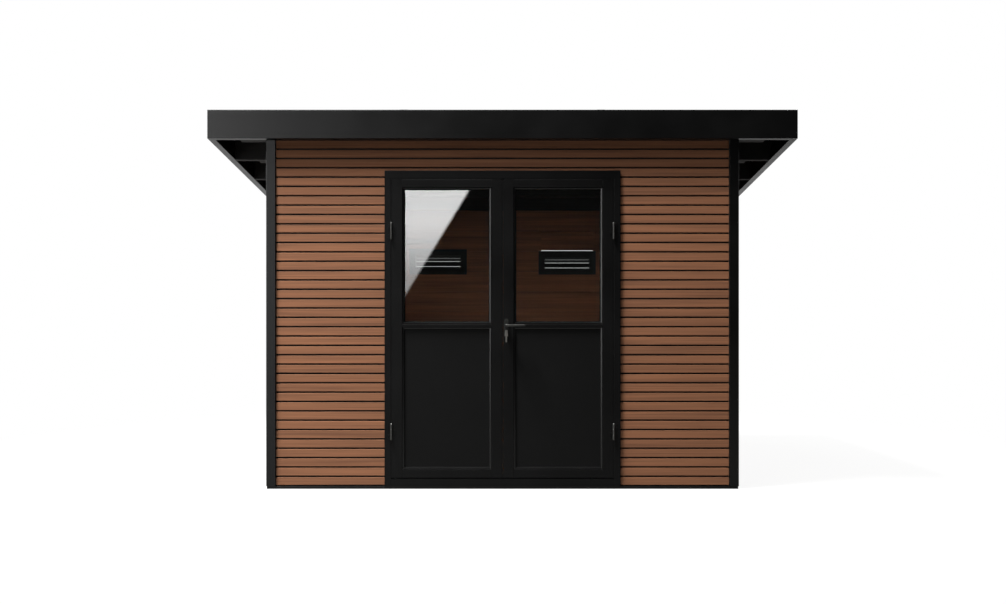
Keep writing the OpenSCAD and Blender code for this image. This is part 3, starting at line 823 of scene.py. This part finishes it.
# Door leaves: stiles and rails of extruded aluminium, butted and screwed, finished like the frame.
# Flat strips on their edges close most of the gap to the frame.
# At the meeting edge the left leaf carries the strips.
infill_play = 0.002
strip_t = 0.003
strip_clear = 0.001
back_strip_clear = 0.0025
strip_setback = 0.0005
leaves = {"left": -1, "right": 1}
stile_low, stile_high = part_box("right_door_stiles")
glass_low, glass_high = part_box("right_door_glass")
panel_low, panel_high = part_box("right_door_panel")
leaf_y = (stile_low.y, stile_high.y)
opening_x = (glass_low.x - infill_play, glass_high.x + infill_play)
glass_z = (glass_low.z - infill_play, glass_high.z + infill_play)
panel_z = (panel_low.z - infill_play, panel_high.z + infill_play)
strip_y = (leaf_y[0] + strip_setback, leaf_y[0] + strip_setback + strip_t)
strip_end = jamb_in - strip_clear
for leaf, side in leaves.items():
    bars = bmesh.new()
    for x in ((stile_low.x, opening_x[0]), (opening_x[1], stile_high.x)):
        across = sorted(side * end for end in x)
        add_prism(bars, soften(rectangle(across, leaf_y), door_edge), 2, stile_low.z, stile_high.z)
    rail_x = sorted(side * end for end in opening_x)
    for z in ((stile_low.z, panel_z[0]), (panel_z[1], glass_z[0]), (glass_z[1], stile_high.z)):
        add_prism(bars, soften(rectangle(leaf_y, z), door_edge), 0, *rail_x)
    leaf_frame = make_piece(f"{leaf}_leaf_frame", bars, door_coat)
    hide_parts(f"{leaf}_door_stiles", f"{leaf}_door_rails")
    strips = bmesh.new()
    across = sorted((side * stile_high.x, side * strip_end))
    add_prism(strips, rectangle(across, strip_y), 2, stile_low.z, stile_high.z)
    above = rectangle(strip_y, (stile_high.z, head_underside - strip_clear))
    add_prism(strips, above, 0, *sorted((side * stile_low.x, side * strip_end)))
    edge_strips = make_piece(f"{leaf}_edge_strips", strips, door_coat)
    for piece in (leaf_frame, edge_strips):
        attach(piece, f"{leaf}_door")
strip = bmesh.new()
back_strip_y = (leaf_y[1] - strip_setback - strip_t, leaf_y[1] - strip_setback)
for y, clear in ((strip_y, strip_clear), (back_strip_y, back_strip_clear)):
    add_prism(strip, rectangle((-stile_low.x, stile_low.x - clear), y), 2, stile_low.z, stile_high.z)
meeting_strips = make_piece("meeting_strips", strip, door_coat)
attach(meeting_strips, "left_door")


# Glass: one clear float pane in each leaf, set on blocks and held by beads.
# Float glass sets on molten tin, so it is flat and smooth and mirrors the studio.
# A slight draw in it bends a reflection a little.
glass_tint = linear("#eef4f2")
glass_draw = 0.5
glass_wave = 0.002
clear_glass, tree, shader = new_material("clear_float_glass", {
    "Base Color": glass_tint, "Roughness": 0.0, "IOR": 1.52, "Transmission Weight": 1.0})
place = add_node(tree, "ShaderNodeTexCoord", {}).outputs["Object"]
draw = add_node(tree, "ShaderNodeTexNoise", {"Vector": place, "Scale": 1 / glass_draw, "Detail": 0})
skin = add_node(tree, "ShaderNodeBump", {
    "Height": draw.outputs["Fac"], "Strength": 0.02, "Distance": glass_wave})
tree.links.new(skin.outputs["Normal"], shader.inputs["Normal"])
# Light from the lamps passes straight through a pane instead of being stopped as a caustic
ray = add_node(tree, "ShaderNodeLightPath", {})
clear = add_node(tree, "ShaderNodeBsdfTransparent", {"Color": glass_tint})
either = add_node(tree, "ShaderNodeMixShader", {
    0: ray.outputs["Is Shadow Ray"], 1: shader.outputs["BSDF"], 2: clear.outputs["BSDF"]})
tree.links.new(either.outputs["Shader"], tree.nodes["Material Output"].inputs["Surface"])
pane_edge = 0.001
for leaf, side in leaves.items():
    pane = bmesh.new()
    across = sorted((side * glass_low.x, side * glass_high.x))
    outline = soften(rectangle(across, (glass_low.y, glass_high.y)), pane_edge)
    add_prism(pane, outline, 2, glass_low.z, glass_high.z)
    leaf_pane = make_piece(f"{leaf}_pane", pane, clear_glass)
    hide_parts(f"{leaf}_door_glass")
    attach(leaf_pane, f"{leaf}_door")


# Lower panels: an insulated board in each leaf, faced on both sides with a matt black plastic skin.
# Like the panes, they stand on blocks in the leaf and are held by beads.

# Panel skin: a film pressed by a grained roller, with a grain of about 0.5 mm that is drawn at 3 mm.
# It gives the panel a flat, even black with hardly any sheen.
panel_grain = 0.003
grain_depth = 0.0003
panel_patch = 0.4
panel_skin, tree, shader = new_material("matt_black_panel_skin", {"IOR": 1.5, "Specular IOR Level": 0.15})
place = add_node(tree, "ShaderNodeTexCoord", {}).outputs["Object"]
grain = add_node(tree, "ShaderNodeTexNoise", {
    "Vector": place, "Scale": 1 / panel_grain, "Detail": 2}).outputs["Fac"]
patches = add_node(tree, "ShaderNodeTexNoise", {
    "Vector": place, "Scale": 1 / panel_patch, "Detail": 2}).outputs["Fac"]
set_surface(
    tree, shader, tone=(patches, ((0.3, "#070707"), (0.7, "#0a0a0a"))),
    gloss=(grain, (0, 1), (0.5, 0.6)), relief=(grain, 0.08, grain_depth))
for leaf, side in leaves.items():
    board = bmesh.new()
    across = sorted((side * panel_low.x, side * panel_high.x))
    outline = soften(rectangle(across, (panel_low.y, panel_high.y)), pane_edge)
    add_prism(board, outline, 2, panel_low.z, panel_high.z)
    leaf_panel = make_piece(f"{leaf}_panel", board, panel_skin)
    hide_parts(f"{leaf}_door_panel")
    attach(leaf_panel, f"{leaf}_door")


# Beads: bevelled aluminium strips clipped in round the glass and the panel on both faces.
# They are mitred at the corners, and a rubber wedge lies between each bead and the glass or panel.

# Black anodised aluminium: a thin dyed oxide that keeps the smooth face of the extrusion.
# Its bevels mirror their surroundings more clearly than the coated parts do.
bead_finish = coat_material(
    "black_anodised_aluminium", "#0a0a0a", "#0e0e0e",
    specular=0.42, smoothest=0.2, roughest=0.27, peel_strength=0.03)
bead_w = 0.014
bead_gap = 0.004
bead_setback = 0.0015
bead_foot = 0.001
bevel_start = 0.0045
bevel_end = 0.0125
bevel_drop = 0.0023
wedge_w = 0.003
wedge_t = 0.0012
wedge_tip_t = 0.0004
for leaf, side in leaves.items():
    beads = bmesh.new()
    wedges = bmesh.new()
    x = sorted(side * end for end in opening_x)
    for z, infill in ((glass_z, (glass_low.y, glass_high.y)), (panel_z, (panel_low.y, panel_high.y))):
        for y, infill_y, out in ((leaf_y[0], infill[0], -1), (leaf_y[1], infill[1], 1)):
            face_y = y - out * bead_setback
            foot_y = infill_y + out * bead_foot
            add_ring(beads, x, z, [
                (0, infill_y), (0, foot_y), (bead_gap, foot_y), (bead_gap, face_y), (bevel_start, face_y),
                (bevel_end, face_y - out * bevel_drop), (bead_w, infill_y)])
            add_ring(wedges, x, z, [
                (bead_w, infill_y), (bead_w, infill_y + out * wedge_t),
                (bead_w + wedge_w, infill_y + out * wedge_tip_t), (bead_w + wedge_w, infill_y)])
    leaf_beads = make_piece(f"{leaf}_beads", beads, bead_finish)
    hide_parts(f"{leaf}_door_beads")
    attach(leaf_beads, f"{leaf}_door")
    leaf_wedges = make_piece(f"{leaf}_glazing_wedges", wedges, seal_rubber)
    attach(leaf_wedges, f"{leaf}_door")


# Hinges: two barrel hinges to a leaf, each with three turned knuckles on one pin with domed ends.
# The flags are steel plates, screwed on the face of the door and coated black with it.

# Brushed metal: scratches from the brushing, about 0.1 mm apart and drawn at 0.8 mm.
scratch = 0.0008
scratch_len = 0.048
scratch_depth = 0.0001


def brushed_metal(name, dark, light, smoothest, roughest):
    """Metal with fine parallel scratches along its height"""
    material, tree, shader = new_material(name, {"Metallic": 1.0})
    place = add_node(tree, "ShaderNodeTexCoord", {}).outputs["Object"]
    drawn_out = add_node(tree, "ShaderNodeMapping", {
        "Vector": place, "Scale": Vector((1 / scratch, 1 / scratch, 1 / scratch_len))})
    scratches = add_node(tree, "ShaderNodeTexNoise", {
        "Vector": drawn_out.outputs["Vector"], "Scale": 1, "Detail": 2}).outputs["Fac"]
    set_surface(
        tree, shader, tone=(scratches, ((0, dark), (1, light))),
        gloss=(scratches, (0, 1), (smoothest, roughest)), relief=(scratches, 0.15, scratch_depth))
    return material


# Turned steel: brushed after turning and left bare, so it has a dull grey shine.
hinge_steel = brushed_metal("brushed_steel", "#4a4a48", "#5e5e5c", smoothest=0.45, roughest=0.6)
hinge_r = 0.007
hinge_len = 0.100
knuckle_gap = 0.0006
knuckle_edge = 0.0008
dome_r = 0.0055
dome_h = 0.004
barrel_gap = 0.001
barrel_sides = 24
flag_w = 0.024
flag_t = 0.003
flag_edge = 0.0008
flag_screw_share = 0.66
hinge_screw_r = 0.0035
knuckle_len = (hinge_len - 2 * knuckle_gap) / 3
knuckle_low, knuckle_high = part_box("right_door_hinge_knuckles")
pin_x = knuckle_high.x - hinge_r
pin_y = door_face - barrel_gap - hinge_r
hinge_heights = (knuckle_low.z + knuckle_len / 2, knuckle_high.z - knuckle_len / 2)
knuckle_profile = ((hinge_r - knuckle_edge, 0), (hinge_r, knuckle_edge),
                   (hinge_r, knuckle_len - knuckle_edge), (hinge_r - knuckle_edge, knuckle_len))
# The domed end of a pin in shares of its radius and its height
dome_shares = ((1, 0), (1, 0.3), (0.8, 0.75), (0.35, 1))
dome_profile = [(dome_r * share, dome_h * rise) for share, rise in dome_shares]


def add_flag(plates, screws, side, way, middle):
    """A flag to one side of the pin, with a web to its knuckle and two screws"""
    z = (middle - knuckle_len / 2, middle + knuckle_len / 2)
    across = sorted((side * pin_x, side * (pin_x + way * flag_w)))
    web = sorted((side * pin_x, side * (pin_x + way * flag_t)))
    add_prism(plates, soften(rectangle(across, (door_face - flag_t, door_face)), flag_edge), 2, *z)
    add_prism(plates, rectangle(web, (pin_y, door_face - flag_t)), 2, *z)
    screw_x = side * (pin_x + way * flag_w * flag_screw_share)
    for up in (-1, 1):
        head_place = (screw_x, door_face - flag_t, middle + up * knuckle_len / 4)
        add_screw(screws, head_place, 1, -1, hinge_screw_r)


def make_hinge_set(name, body, node, knuckles):
    """The barrels, flags and screws on one body; knuckles gives side, way, middle and domed end of each"""
    barrels = bmesh.new()
    plates = bmesh.new()
    screws = bmesh.new()
    for side, way, middle, dome in knuckles:
        foot = (side * pin_x, pin_y, middle - knuckle_len / 2)
        add_turned(barrels, foot, 2, 1, knuckle_profile, barrel_sides)
        if dome:
            foot = (side * pin_x, pin_y, middle + dome * knuckle_len / 2)
            add_turned(barrels, foot, 2, dome, dome_profile, barrel_sides)
        add_flag(plates, screws, side, way, middle)
    hinge_barrels = make_piece(f"{name}_hinge_barrels", barrels, hinge_steel, round_angle)
    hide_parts(node)
    hinge_flags = make_piece(f"{name}_hinge_flags", plates, door_coat)
    hinge_screws = make_piece(f"{name}_hinge_screws", screws, door_coat, round_angle)
    for piece in (hinge_barrels, hinge_flags, hinge_screws):
        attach(piece, body)


frame_knuckles = []
for side in leaves.values():
    for z in hinge_heights:
        for end in (-1, 1):
            frame_knuckles.append((side, 1, z + end * (hinge_len - knuckle_len) / 2, end))
make_hinge_set("frame", "house", "frame_hinge_knuckles", frame_knuckles)
for leaf, side in leaves.items():
    leaf_knuckles = [(side, -1, z, 0) for z in hinge_heights]
    make_hinge_set(f"{leaf}_leaf", f"{leaf}_door", f"{leaf}_door_hinge_knuckles", leaf_knuckles)


# Handle: on each side of the right leaf a backplate and a lever bent from one bar, in dark brushed steel.
# The lever is flattened towards its domed tip; two screws hold each backplate.

# Graphite-grey steel: brushed, then darkened in a hot bath, which leaves a dull metal, nearly black.
handle_steel = brushed_metal("darkened_brushed_steel", "#343433", "#444442", smoothest=0.5, roughest=0.62)
lever_low, lever_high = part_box("door_lever")
plate_low, plate_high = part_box("handle_backplates")
lever_r = (lever_high.z - lever_low.z) / 2
lever_x = lever_low.x + lever_r
lever_z = (lever_low.z + lever_high.z) / 2
leaf_middle = (leaf_y[0] + leaf_y[1]) / 2
bend_r = 0.016
grip_half_h = 0.0072
neck_gap = 0.0005
squareness = 0.3
dome_steps = 5
bend_steps = 8
bar_sides = 32


def squared(share):
    """A share of a round bar's radius, moved out so that its four sides are nearly flat"""
    return math.copysign(abs(share) ** squareness, share)


def add_bent_bar(mesh, stations, mirror_y):
    """A bar through stations of x, y, heading, half width and half height, mirrored in y where asked"""
    rings = []
    for x, y, heading, half_w, half_h in stations:
        ring = []
        for i in range(bar_sides):
            angle = 2 * math.pi * i / bar_sides
            aside = squared(math.cos(angle)) * half_w
            point_x = x - math.sin(heading) * aside
            point_y = y + math.cos(heading) * aside
            if mirror_y:
                point_y = 2 * leaf_middle - point_y
            point_z = lever_z + squared(math.sin(angle)) * half_h
            ring.append(mesh.verts.new((point_x, point_y, point_z)))
        rings.append(ring)
    join_rings(mesh, rings)


grip_y = lever_low.y + lever_r
neck_end_y = grip_y + bend_r
tip_x = lever_high.x - lever_r
stations = [(lever_x, leaf_y[0] - neck_gap, -math.pi / 2, lever_r, lever_r)]
for i in range(bend_steps + 1):
    share = i / bend_steps
    turn = math.pi / 2 * i / bend_steps
    half_h = lever_r + (grip_half_h - lever_r) * share
    stations.append((lever_x + bend_r * (1 - math.cos(turn)), neck_end_y - bend_r * math.sin(turn),
                     turn - math.pi / 2, lever_r, half_h))
stations.append((tip_x, grip_y, 0, lever_r, grip_half_h))
# The last ring stops half a step short of the point of the dome, and a flat face closes it
for i in range(1, dome_steps + 1):
    turn = math.pi / 2 * i / (dome_steps + 0.5)
    stations.append((tip_x + lever_r * math.sin(turn), grip_y, 0,
                     lever_r * math.cos(turn), grip_half_h * math.cos(turn)))
bars = bmesh.new()
for mirror_y in (False, True):
    add_bent_bar(bars, stations, mirror_y)
lever_bars = make_piece("lever_bars", bars, handle_steel, round_angle)
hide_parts("door_lever")
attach(lever_bars, "lever")
for name in ("handle_backplates", "lock_cylinder"):
    part = frame["nodes"][name]
    part.material_slots[0].material = handle_steel
plate_screw_r = 0.004
plate_screw_inset = 0.012
screws = bmesh.new()
for y, out in ((plate_low.y, -1), (plate_high.y, 1)):
    for z in (plate_low.z + plate_screw_inset, plate_high.z - plate_screw_inset):
        add_screw(screws, (lever_x, y, z), 1, out, plate_screw_r)
plate_screws = make_piece("backplate_screws", screws, handle_steel, round_angle)
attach(plate_screws, "right_door")


# Key: stamped from nickel-plated brass, with a bow that widens downwards and a notched blade.
# A short shank holds it flat in front of the lock.

# Nickel plate on brass: a bright warm-grey metal, dulled by handling in cloudy patches of about 8 mm.
handled_patch = 0.008
nickel_plate, tree, shader = new_material("nickel_plated_brass", {"Metallic": 1.0})
place = add_node(tree, "ShaderNodeTexCoord", {}).outputs["Object"]
handling = add_node(tree, "ShaderNodeTexNoise", {
    "Vector": place, "Scale": 1 / handled_patch, "Detail": 4}).outputs["Fac"]
set_surface(
    tree, shader, tone=(handling, ((0, "#84827d"), (1, "#aaa8a2"))), gloss=(handling, (0, 1), (0.45, 0.3)))

key_low, key_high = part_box("door_key")
key_t = 0.0025
key_edge = 0.002
bow_top_half_w = 0.007
bow_h = 0.038
blade_half_w = 0.005
notch_depth = 0.0018
notch_pitch = 0.006
notch_count = 4
# Where the first notch starts and the last one ends, in pitches, and the shares of depth and pitch in each
notch_start = 0.25
notch_end = 0.4
notch_shares = ((0, 0), (0, 0.3), (1, 0.55), (1, 0.7))
shank_r = 0.0025
shank_drop = 0.005
shank_sides = 12
key_x = (key_low.x + key_high.x) / 2
bow_half_w = (key_high.x - key_low.x) / 2
bow_low = key_high.z - bow_h
key_outline = [
    (bow_top_half_w, key_high.z), (-bow_top_half_w, key_high.z), (-bow_half_w, bow_low + key_edge),
    (-bow_half_w, bow_low), (-blade_half_w, bow_low), (-blade_half_w, key_low.z),
    (blade_half_w - notch_depth, key_low.z)]
for i in range(notch_count):
    low = key_low.z + notch_pitch * (i + notch_start)
    for depth, rise in notch_shares:
        key_outline.append((blade_half_w - notch_depth * depth, low + notch_pitch * rise))
key_outline += [
    (blade_half_w, key_low.z + notch_pitch * (notch_count + notch_end)), (blade_half_w, bow_low),
    (bow_half_w, bow_low), (bow_half_w, bow_low + key_edge)]
key = bmesh.new()
add_prism(key, [(key_x + across, z) for across, z in key_outline], 1, key_low.y, key_low.y + key_t)
shank_profile = ((shank_r, 0), (shank_r, key_high.y - key_low.y - key_t))
shank_foot = (key_x, key_low.y + key_t, key_high.z - shank_drop)
add_turned(key, shank_foot, 1, 1, shank_profile, shank_sides)
hanging_key = make_piece("hanging_key", key, nickel_plate)
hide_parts("door_key")
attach(hanging_key, "right_door")


# Studio: a round white floor takes the shadow and throws light up under the eaves, in a white surround.
# Soft lamps stand high over the house, in front of it, to the left, beside its left wall and behind it.
# A bright card shows as a reflection in the left pane.
floor_r = 6.2
floor_sides = 96
floor_drop = 0.0005
shadow_share = 0.10
shadow_fade = (2.4, 4.5)
disc = bmesh.new()
bmesh.ops.create_circle(disc, cap_ends=True, radius=floor_r, segments=floor_sides)
studio_white, tree, shader = new_material("studio_floor_white", {
    "Base Color": linear("#555554"), "Roughness": 1.0, "Specular IOR Level": 0.0})
ray = add_node(tree, "ShaderNodeLightPath", {})
place = add_node(tree, "ShaderNodeTexCoord", {}).outputs["Object"]
away = add_node(tree, "ShaderNodeVectorMath", {0: place}, operation="LENGTH")
# The shadow fades out towards the rim, where the floor and the surround meet
glow_share = add_node(tree, "ShaderNodeMapRange", {
    "Value": away.outputs["Value"], "From Min": shadow_fade[0], "From Max": shadow_fade[1],
    "To Min": 1 - shadow_share, "To Max": 1.0})
seen = add_node(tree, "ShaderNodeMath", {
    0: ray.outputs["Is Camera Ray"], 1: glow_share.outputs["Result"]}, operation="MULTIPLY")
pale = add_node(tree, "ShaderNodeBsdfDiffuse", {"Color": linear("#f4f4f2")})
glow = add_node(tree, "ShaderNodeEmission", {"Color": linear("#ffffff"), "Strength": 1.0})
lit_floor = add_node(tree, "ShaderNodeMixShader", {
    0: ray.outputs["Is Camera Ray"], 1: shader.outputs["BSDF"], 2: pale.outputs["BSDF"]})
mixed = add_node(tree, "ShaderNodeMixShader", {
    0: seen.outputs["Value"], 1: lit_floor.outputs["Shader"], 2: glow.outputs["Emission"]})
tree.links.new(mixed.outputs["Shader"], tree.nodes["Material Output"].inputs["Surface"])
studio_floor = make_piece("studio_floor", disc, studio_white)
studio_floor.location.z = -floor_drop

ambient = 0.025
front_glow = 10.0
dark_studio = 0.02
first_bounce = 0.5
surround = bpy.data.worlds.new("studio_surround")
surround.use_nodes = True
bpy.context.scene.world = surround
tree = surround.node_tree
ray = add_node(tree, "ShaderNodeLightPath", {})
direction = add_node(tree, "ShaderNodeTexCoord", {})
facing = add_node(tree, "ShaderNodeSeparateXYZ", {"Vector": direction.outputs["Generated"]})
# The white backdrop stands behind the house; towards the camera the studio is dark
backdrop = add_node(tree, "ShaderNodeMapRange", {
    "Value": facing.outputs["Y"], "From Min": -0.1, "From Max": 0.3})
matt = add_node(tree, "ShaderNodeMath", {
    0: ray.outputs["Diffuse Depth"], 1: first_bounce}, operation="GREATER_THAN")
polished = add_node(tree, "ShaderNodeMath", {
    0: ray.outputs["Glossy Depth"], 1: first_bounce}, operation="GREATER_THAN")
mirror = add_node(tree, "ShaderNodeMath", {
    0: polished.outputs["Value"], 1: matt.outputs["Value"]}, operation="SUBTRACT", use_clamp=True)
mirrored = add_node(tree, "ShaderNodeMath", {
    0: mirror.outputs["Value"], 1: backdrop.outputs["Result"]}, operation="MULTIPLY")
# A ray that comes straight from the camera, through glass too, sees the white; after a bounce it doesn't
unbent = add_node(tree, "ShaderNodeMath", {
    0: ray.outputs["Is Transmission Ray"], 1: ray.outputs["Is Camera Ray"]}, operation="MAXIMUM")
bounced = add_node(tree, "ShaderNodeMath", {
    0: polished.outputs["Value"], 1: matt.outputs["Value"]}, operation="MAXIMUM")
straight = add_node(tree, "ShaderNodeMath", {
    0: unbent.outputs["Value"], 1: bounced.outputs["Value"]}, operation="SUBTRACT", use_clamp=True)
shown = add_node(tree, "ShaderNodeMath", {
    0: mirrored.outputs["Value"], 1: straight.outputs["Value"]}, operation="MAXIMUM")
# Through the panes the room sees the lit upper part of the studio
above = add_node(tree, "ShaderNodeMapRange", {"Value": facing.outputs["Z"], "From Max": 0.15})
seen_above = add_node(tree, "ShaderNodeMath", {
    0: ray.outputs["Is Transmission Ray"], 1: above.outputs["Result"]}, operation="MULTIPLY")
room_light = add_node(tree, "ShaderNodeMath", {
    0: seen_above.outputs["Value"], 1: front_glow, 2: ambient}, operation="MULTIPLY_ADD")
dim = add_node(tree, "ShaderNodeBackground", {
    "Color": linear("#ffffff"), "Strength": room_light.outputs["Value"]})
dark = add_node(tree, "ShaderNodeBackground", {"Color": linear("#ffffff"), "Strength": dark_studio})
white = add_node(tree, "ShaderNodeBackground", {"Color": linear("#ffffff"), "Strength": 1.0})
soft = add_node(tree, "ShaderNodeMixShader", {
    0: mirror.outputs["Value"], 1: dim.outputs["Background"], 2: dark.outputs["Background"]})
lit = add_node(tree, "ShaderNodeMixShader", {
    0: shown.outputs["Value"], 1: soft.outputs["Shader"], 2: white.outputs["Background"]})
tree.links.new(lit.outputs["Shader"], tree.nodes["World Output"].inputs["Surface"])


def add_softbox(name, place, target, size, power):
    """A rectangular lamp at place that faces target"""
    data = bpy.data.lights.new(name, "AREA")
    data.shape = "RECTANGLE"
    data.size, data.size_y = size
    data.energy = power
    lamp = bpy.data.objects.new(name, data)
    lamp.location = place
    lamp.rotation_euler = (Vector(target) - Vector(place)).to_track_quat("-Z", "Y").to_euler()
    bpy.context.collection.objects.link(lamp)
    return lamp


# The high lamp faces away to the left, so its light skims the front and fades from left to right
high_softbox = add_softbox(
    "high_softbox", place=(-4.6, -2.95, 14.1), target=(-17.0, -1.05, 1.2), size=(3.2, 4.5), power=19300)
add_softbox(
    "front_softbox", place=(-2.2, -5.6, 10.2), target=(0, -1.2, 1.4), size=(4.0, 4.0), power=270)
left_softbox = add_softbox(
    "left_softbox", place=(-4.6, -9.8, 2.6), target=(-1.5, -1.2, 1.6), size=(1.8, 5.0), power=140)
add_softbox(
    "side_softbox", place=(-8.0, 1.2, 3.2), target=(-1.5, 0, 1.1), size=(3.0, 3.0), power=220)
add_softbox(
    "back_softbox", place=(6.0, 6.5, 6.0), target=(0.6, 0.4, 1.2), size=(4.0, 3.0), power=800)


def keep_off(lamp, pieces):
    """Flags a lamp off these pieces"""
    flagged = bpy.data.collections.new(f"{lamp.name}_flags")
    for piece in pieces:
        flagged.objects.link(piece)
    for member in flagged.collection_objects:
        member.light_linking.link_state = "EXCLUDE"
    lamp.light_linking.receiver_collection = flagged


# The left lamp puts the sheen on the coated metal and would flatten the wood.
# The high one would bleach the roofing.
wooden_ends = ("_cladding", "_lining")
wooden = [piece for piece in bpy.context.collection.objects if piece.name.endswith(wooden_ends)]
keep_off(left_softbox, wooden)
keep_off(high_softbox, [roofing])

# The card fills the upper left corner of the left pane, down to a slanting edge, as a bright wall would
card_y = -13.2
card_high = 5.6
card_low = -2.6
card_left = -4.2
edge_foot = Vector((-0.515, card_y, 3.10))
edge_way = Vector((0.62, 0, 1.02)).normalized()
edge_blur = 0.07
card_glow = (6.1, 15.0)
card_glow_z = (1.575, 2.515)
edge_out = Vector((-edge_way.z, 0, edge_way.x))
edge_top = edge_foot + edge_way * (card_high - edge_foot.z) / edge_way.z
edge_end = edge_foot + edge_way * (card_low - edge_foot.z) / edge_way.z
card = bmesh.new()
card_corners = [
    edge_top, Vector((card_left, card_y, card_high)), Vector((card_left, card_y, card_low)), edge_end]
card.faces.new([card.verts.new(corner) for corner in card_corners])
card_white, tree, shader = new_material("bright_card", {
    "Base Color": linear("#000000"), "Emission Color": linear("#ffffff")})
place = add_node(tree, "ShaderNodeTexCoord", {}).outputs["Object"]
from_edge = add_node(tree, "ShaderNodeVectorMath", {0: place, 1: edge_out}, operation="DOT_PRODUCT")
rise = add_node(tree, "ShaderNodeMapRange", {
    "Value": from_edge.outputs["Value"], "From Min": edge_out.dot(edge_foot),
    "From Max": edge_out.dot(edge_foot) + edge_blur}, interpolation_type="SMOOTHSTEP")
height = add_node(tree, "ShaderNodeSeparateXYZ", {"Vector": place})
upwards = add_node(tree, "ShaderNodeMapRange", {
    "Value": height.outputs["Z"], "From Min": card_glow_z[0], "From Max": card_glow_z[1],
    "To Min": card_glow[0], "To Max": card_glow[1]})
brightness = add_node(tree, "ShaderNodeMath", {
    0: rise.outputs["Result"], 1: upwards.outputs["Result"]}, operation="MULTIPLY")
tree.links.new(brightness.outputs["Value"], shader.inputs["Emission Strength"])
bright_card = make_piece("bright_card", card, card_white)
bright_card.visible_camera = False
bright_card.visible_diffuse = False
bright_card.visible_transmission = False
bright_card.visible_shadow = False
# Only the panes take light from the card: a black coat would show it as a grey haze
card_receivers = bpy.data.collections.new("panes_that_mirror_the_card")
for leaf in leaves:
    card_receivers.objects.link(bpy.data.objects[f"{leaf}_pane"])
bright_card.light_linking.receiver_collection = card_receivers
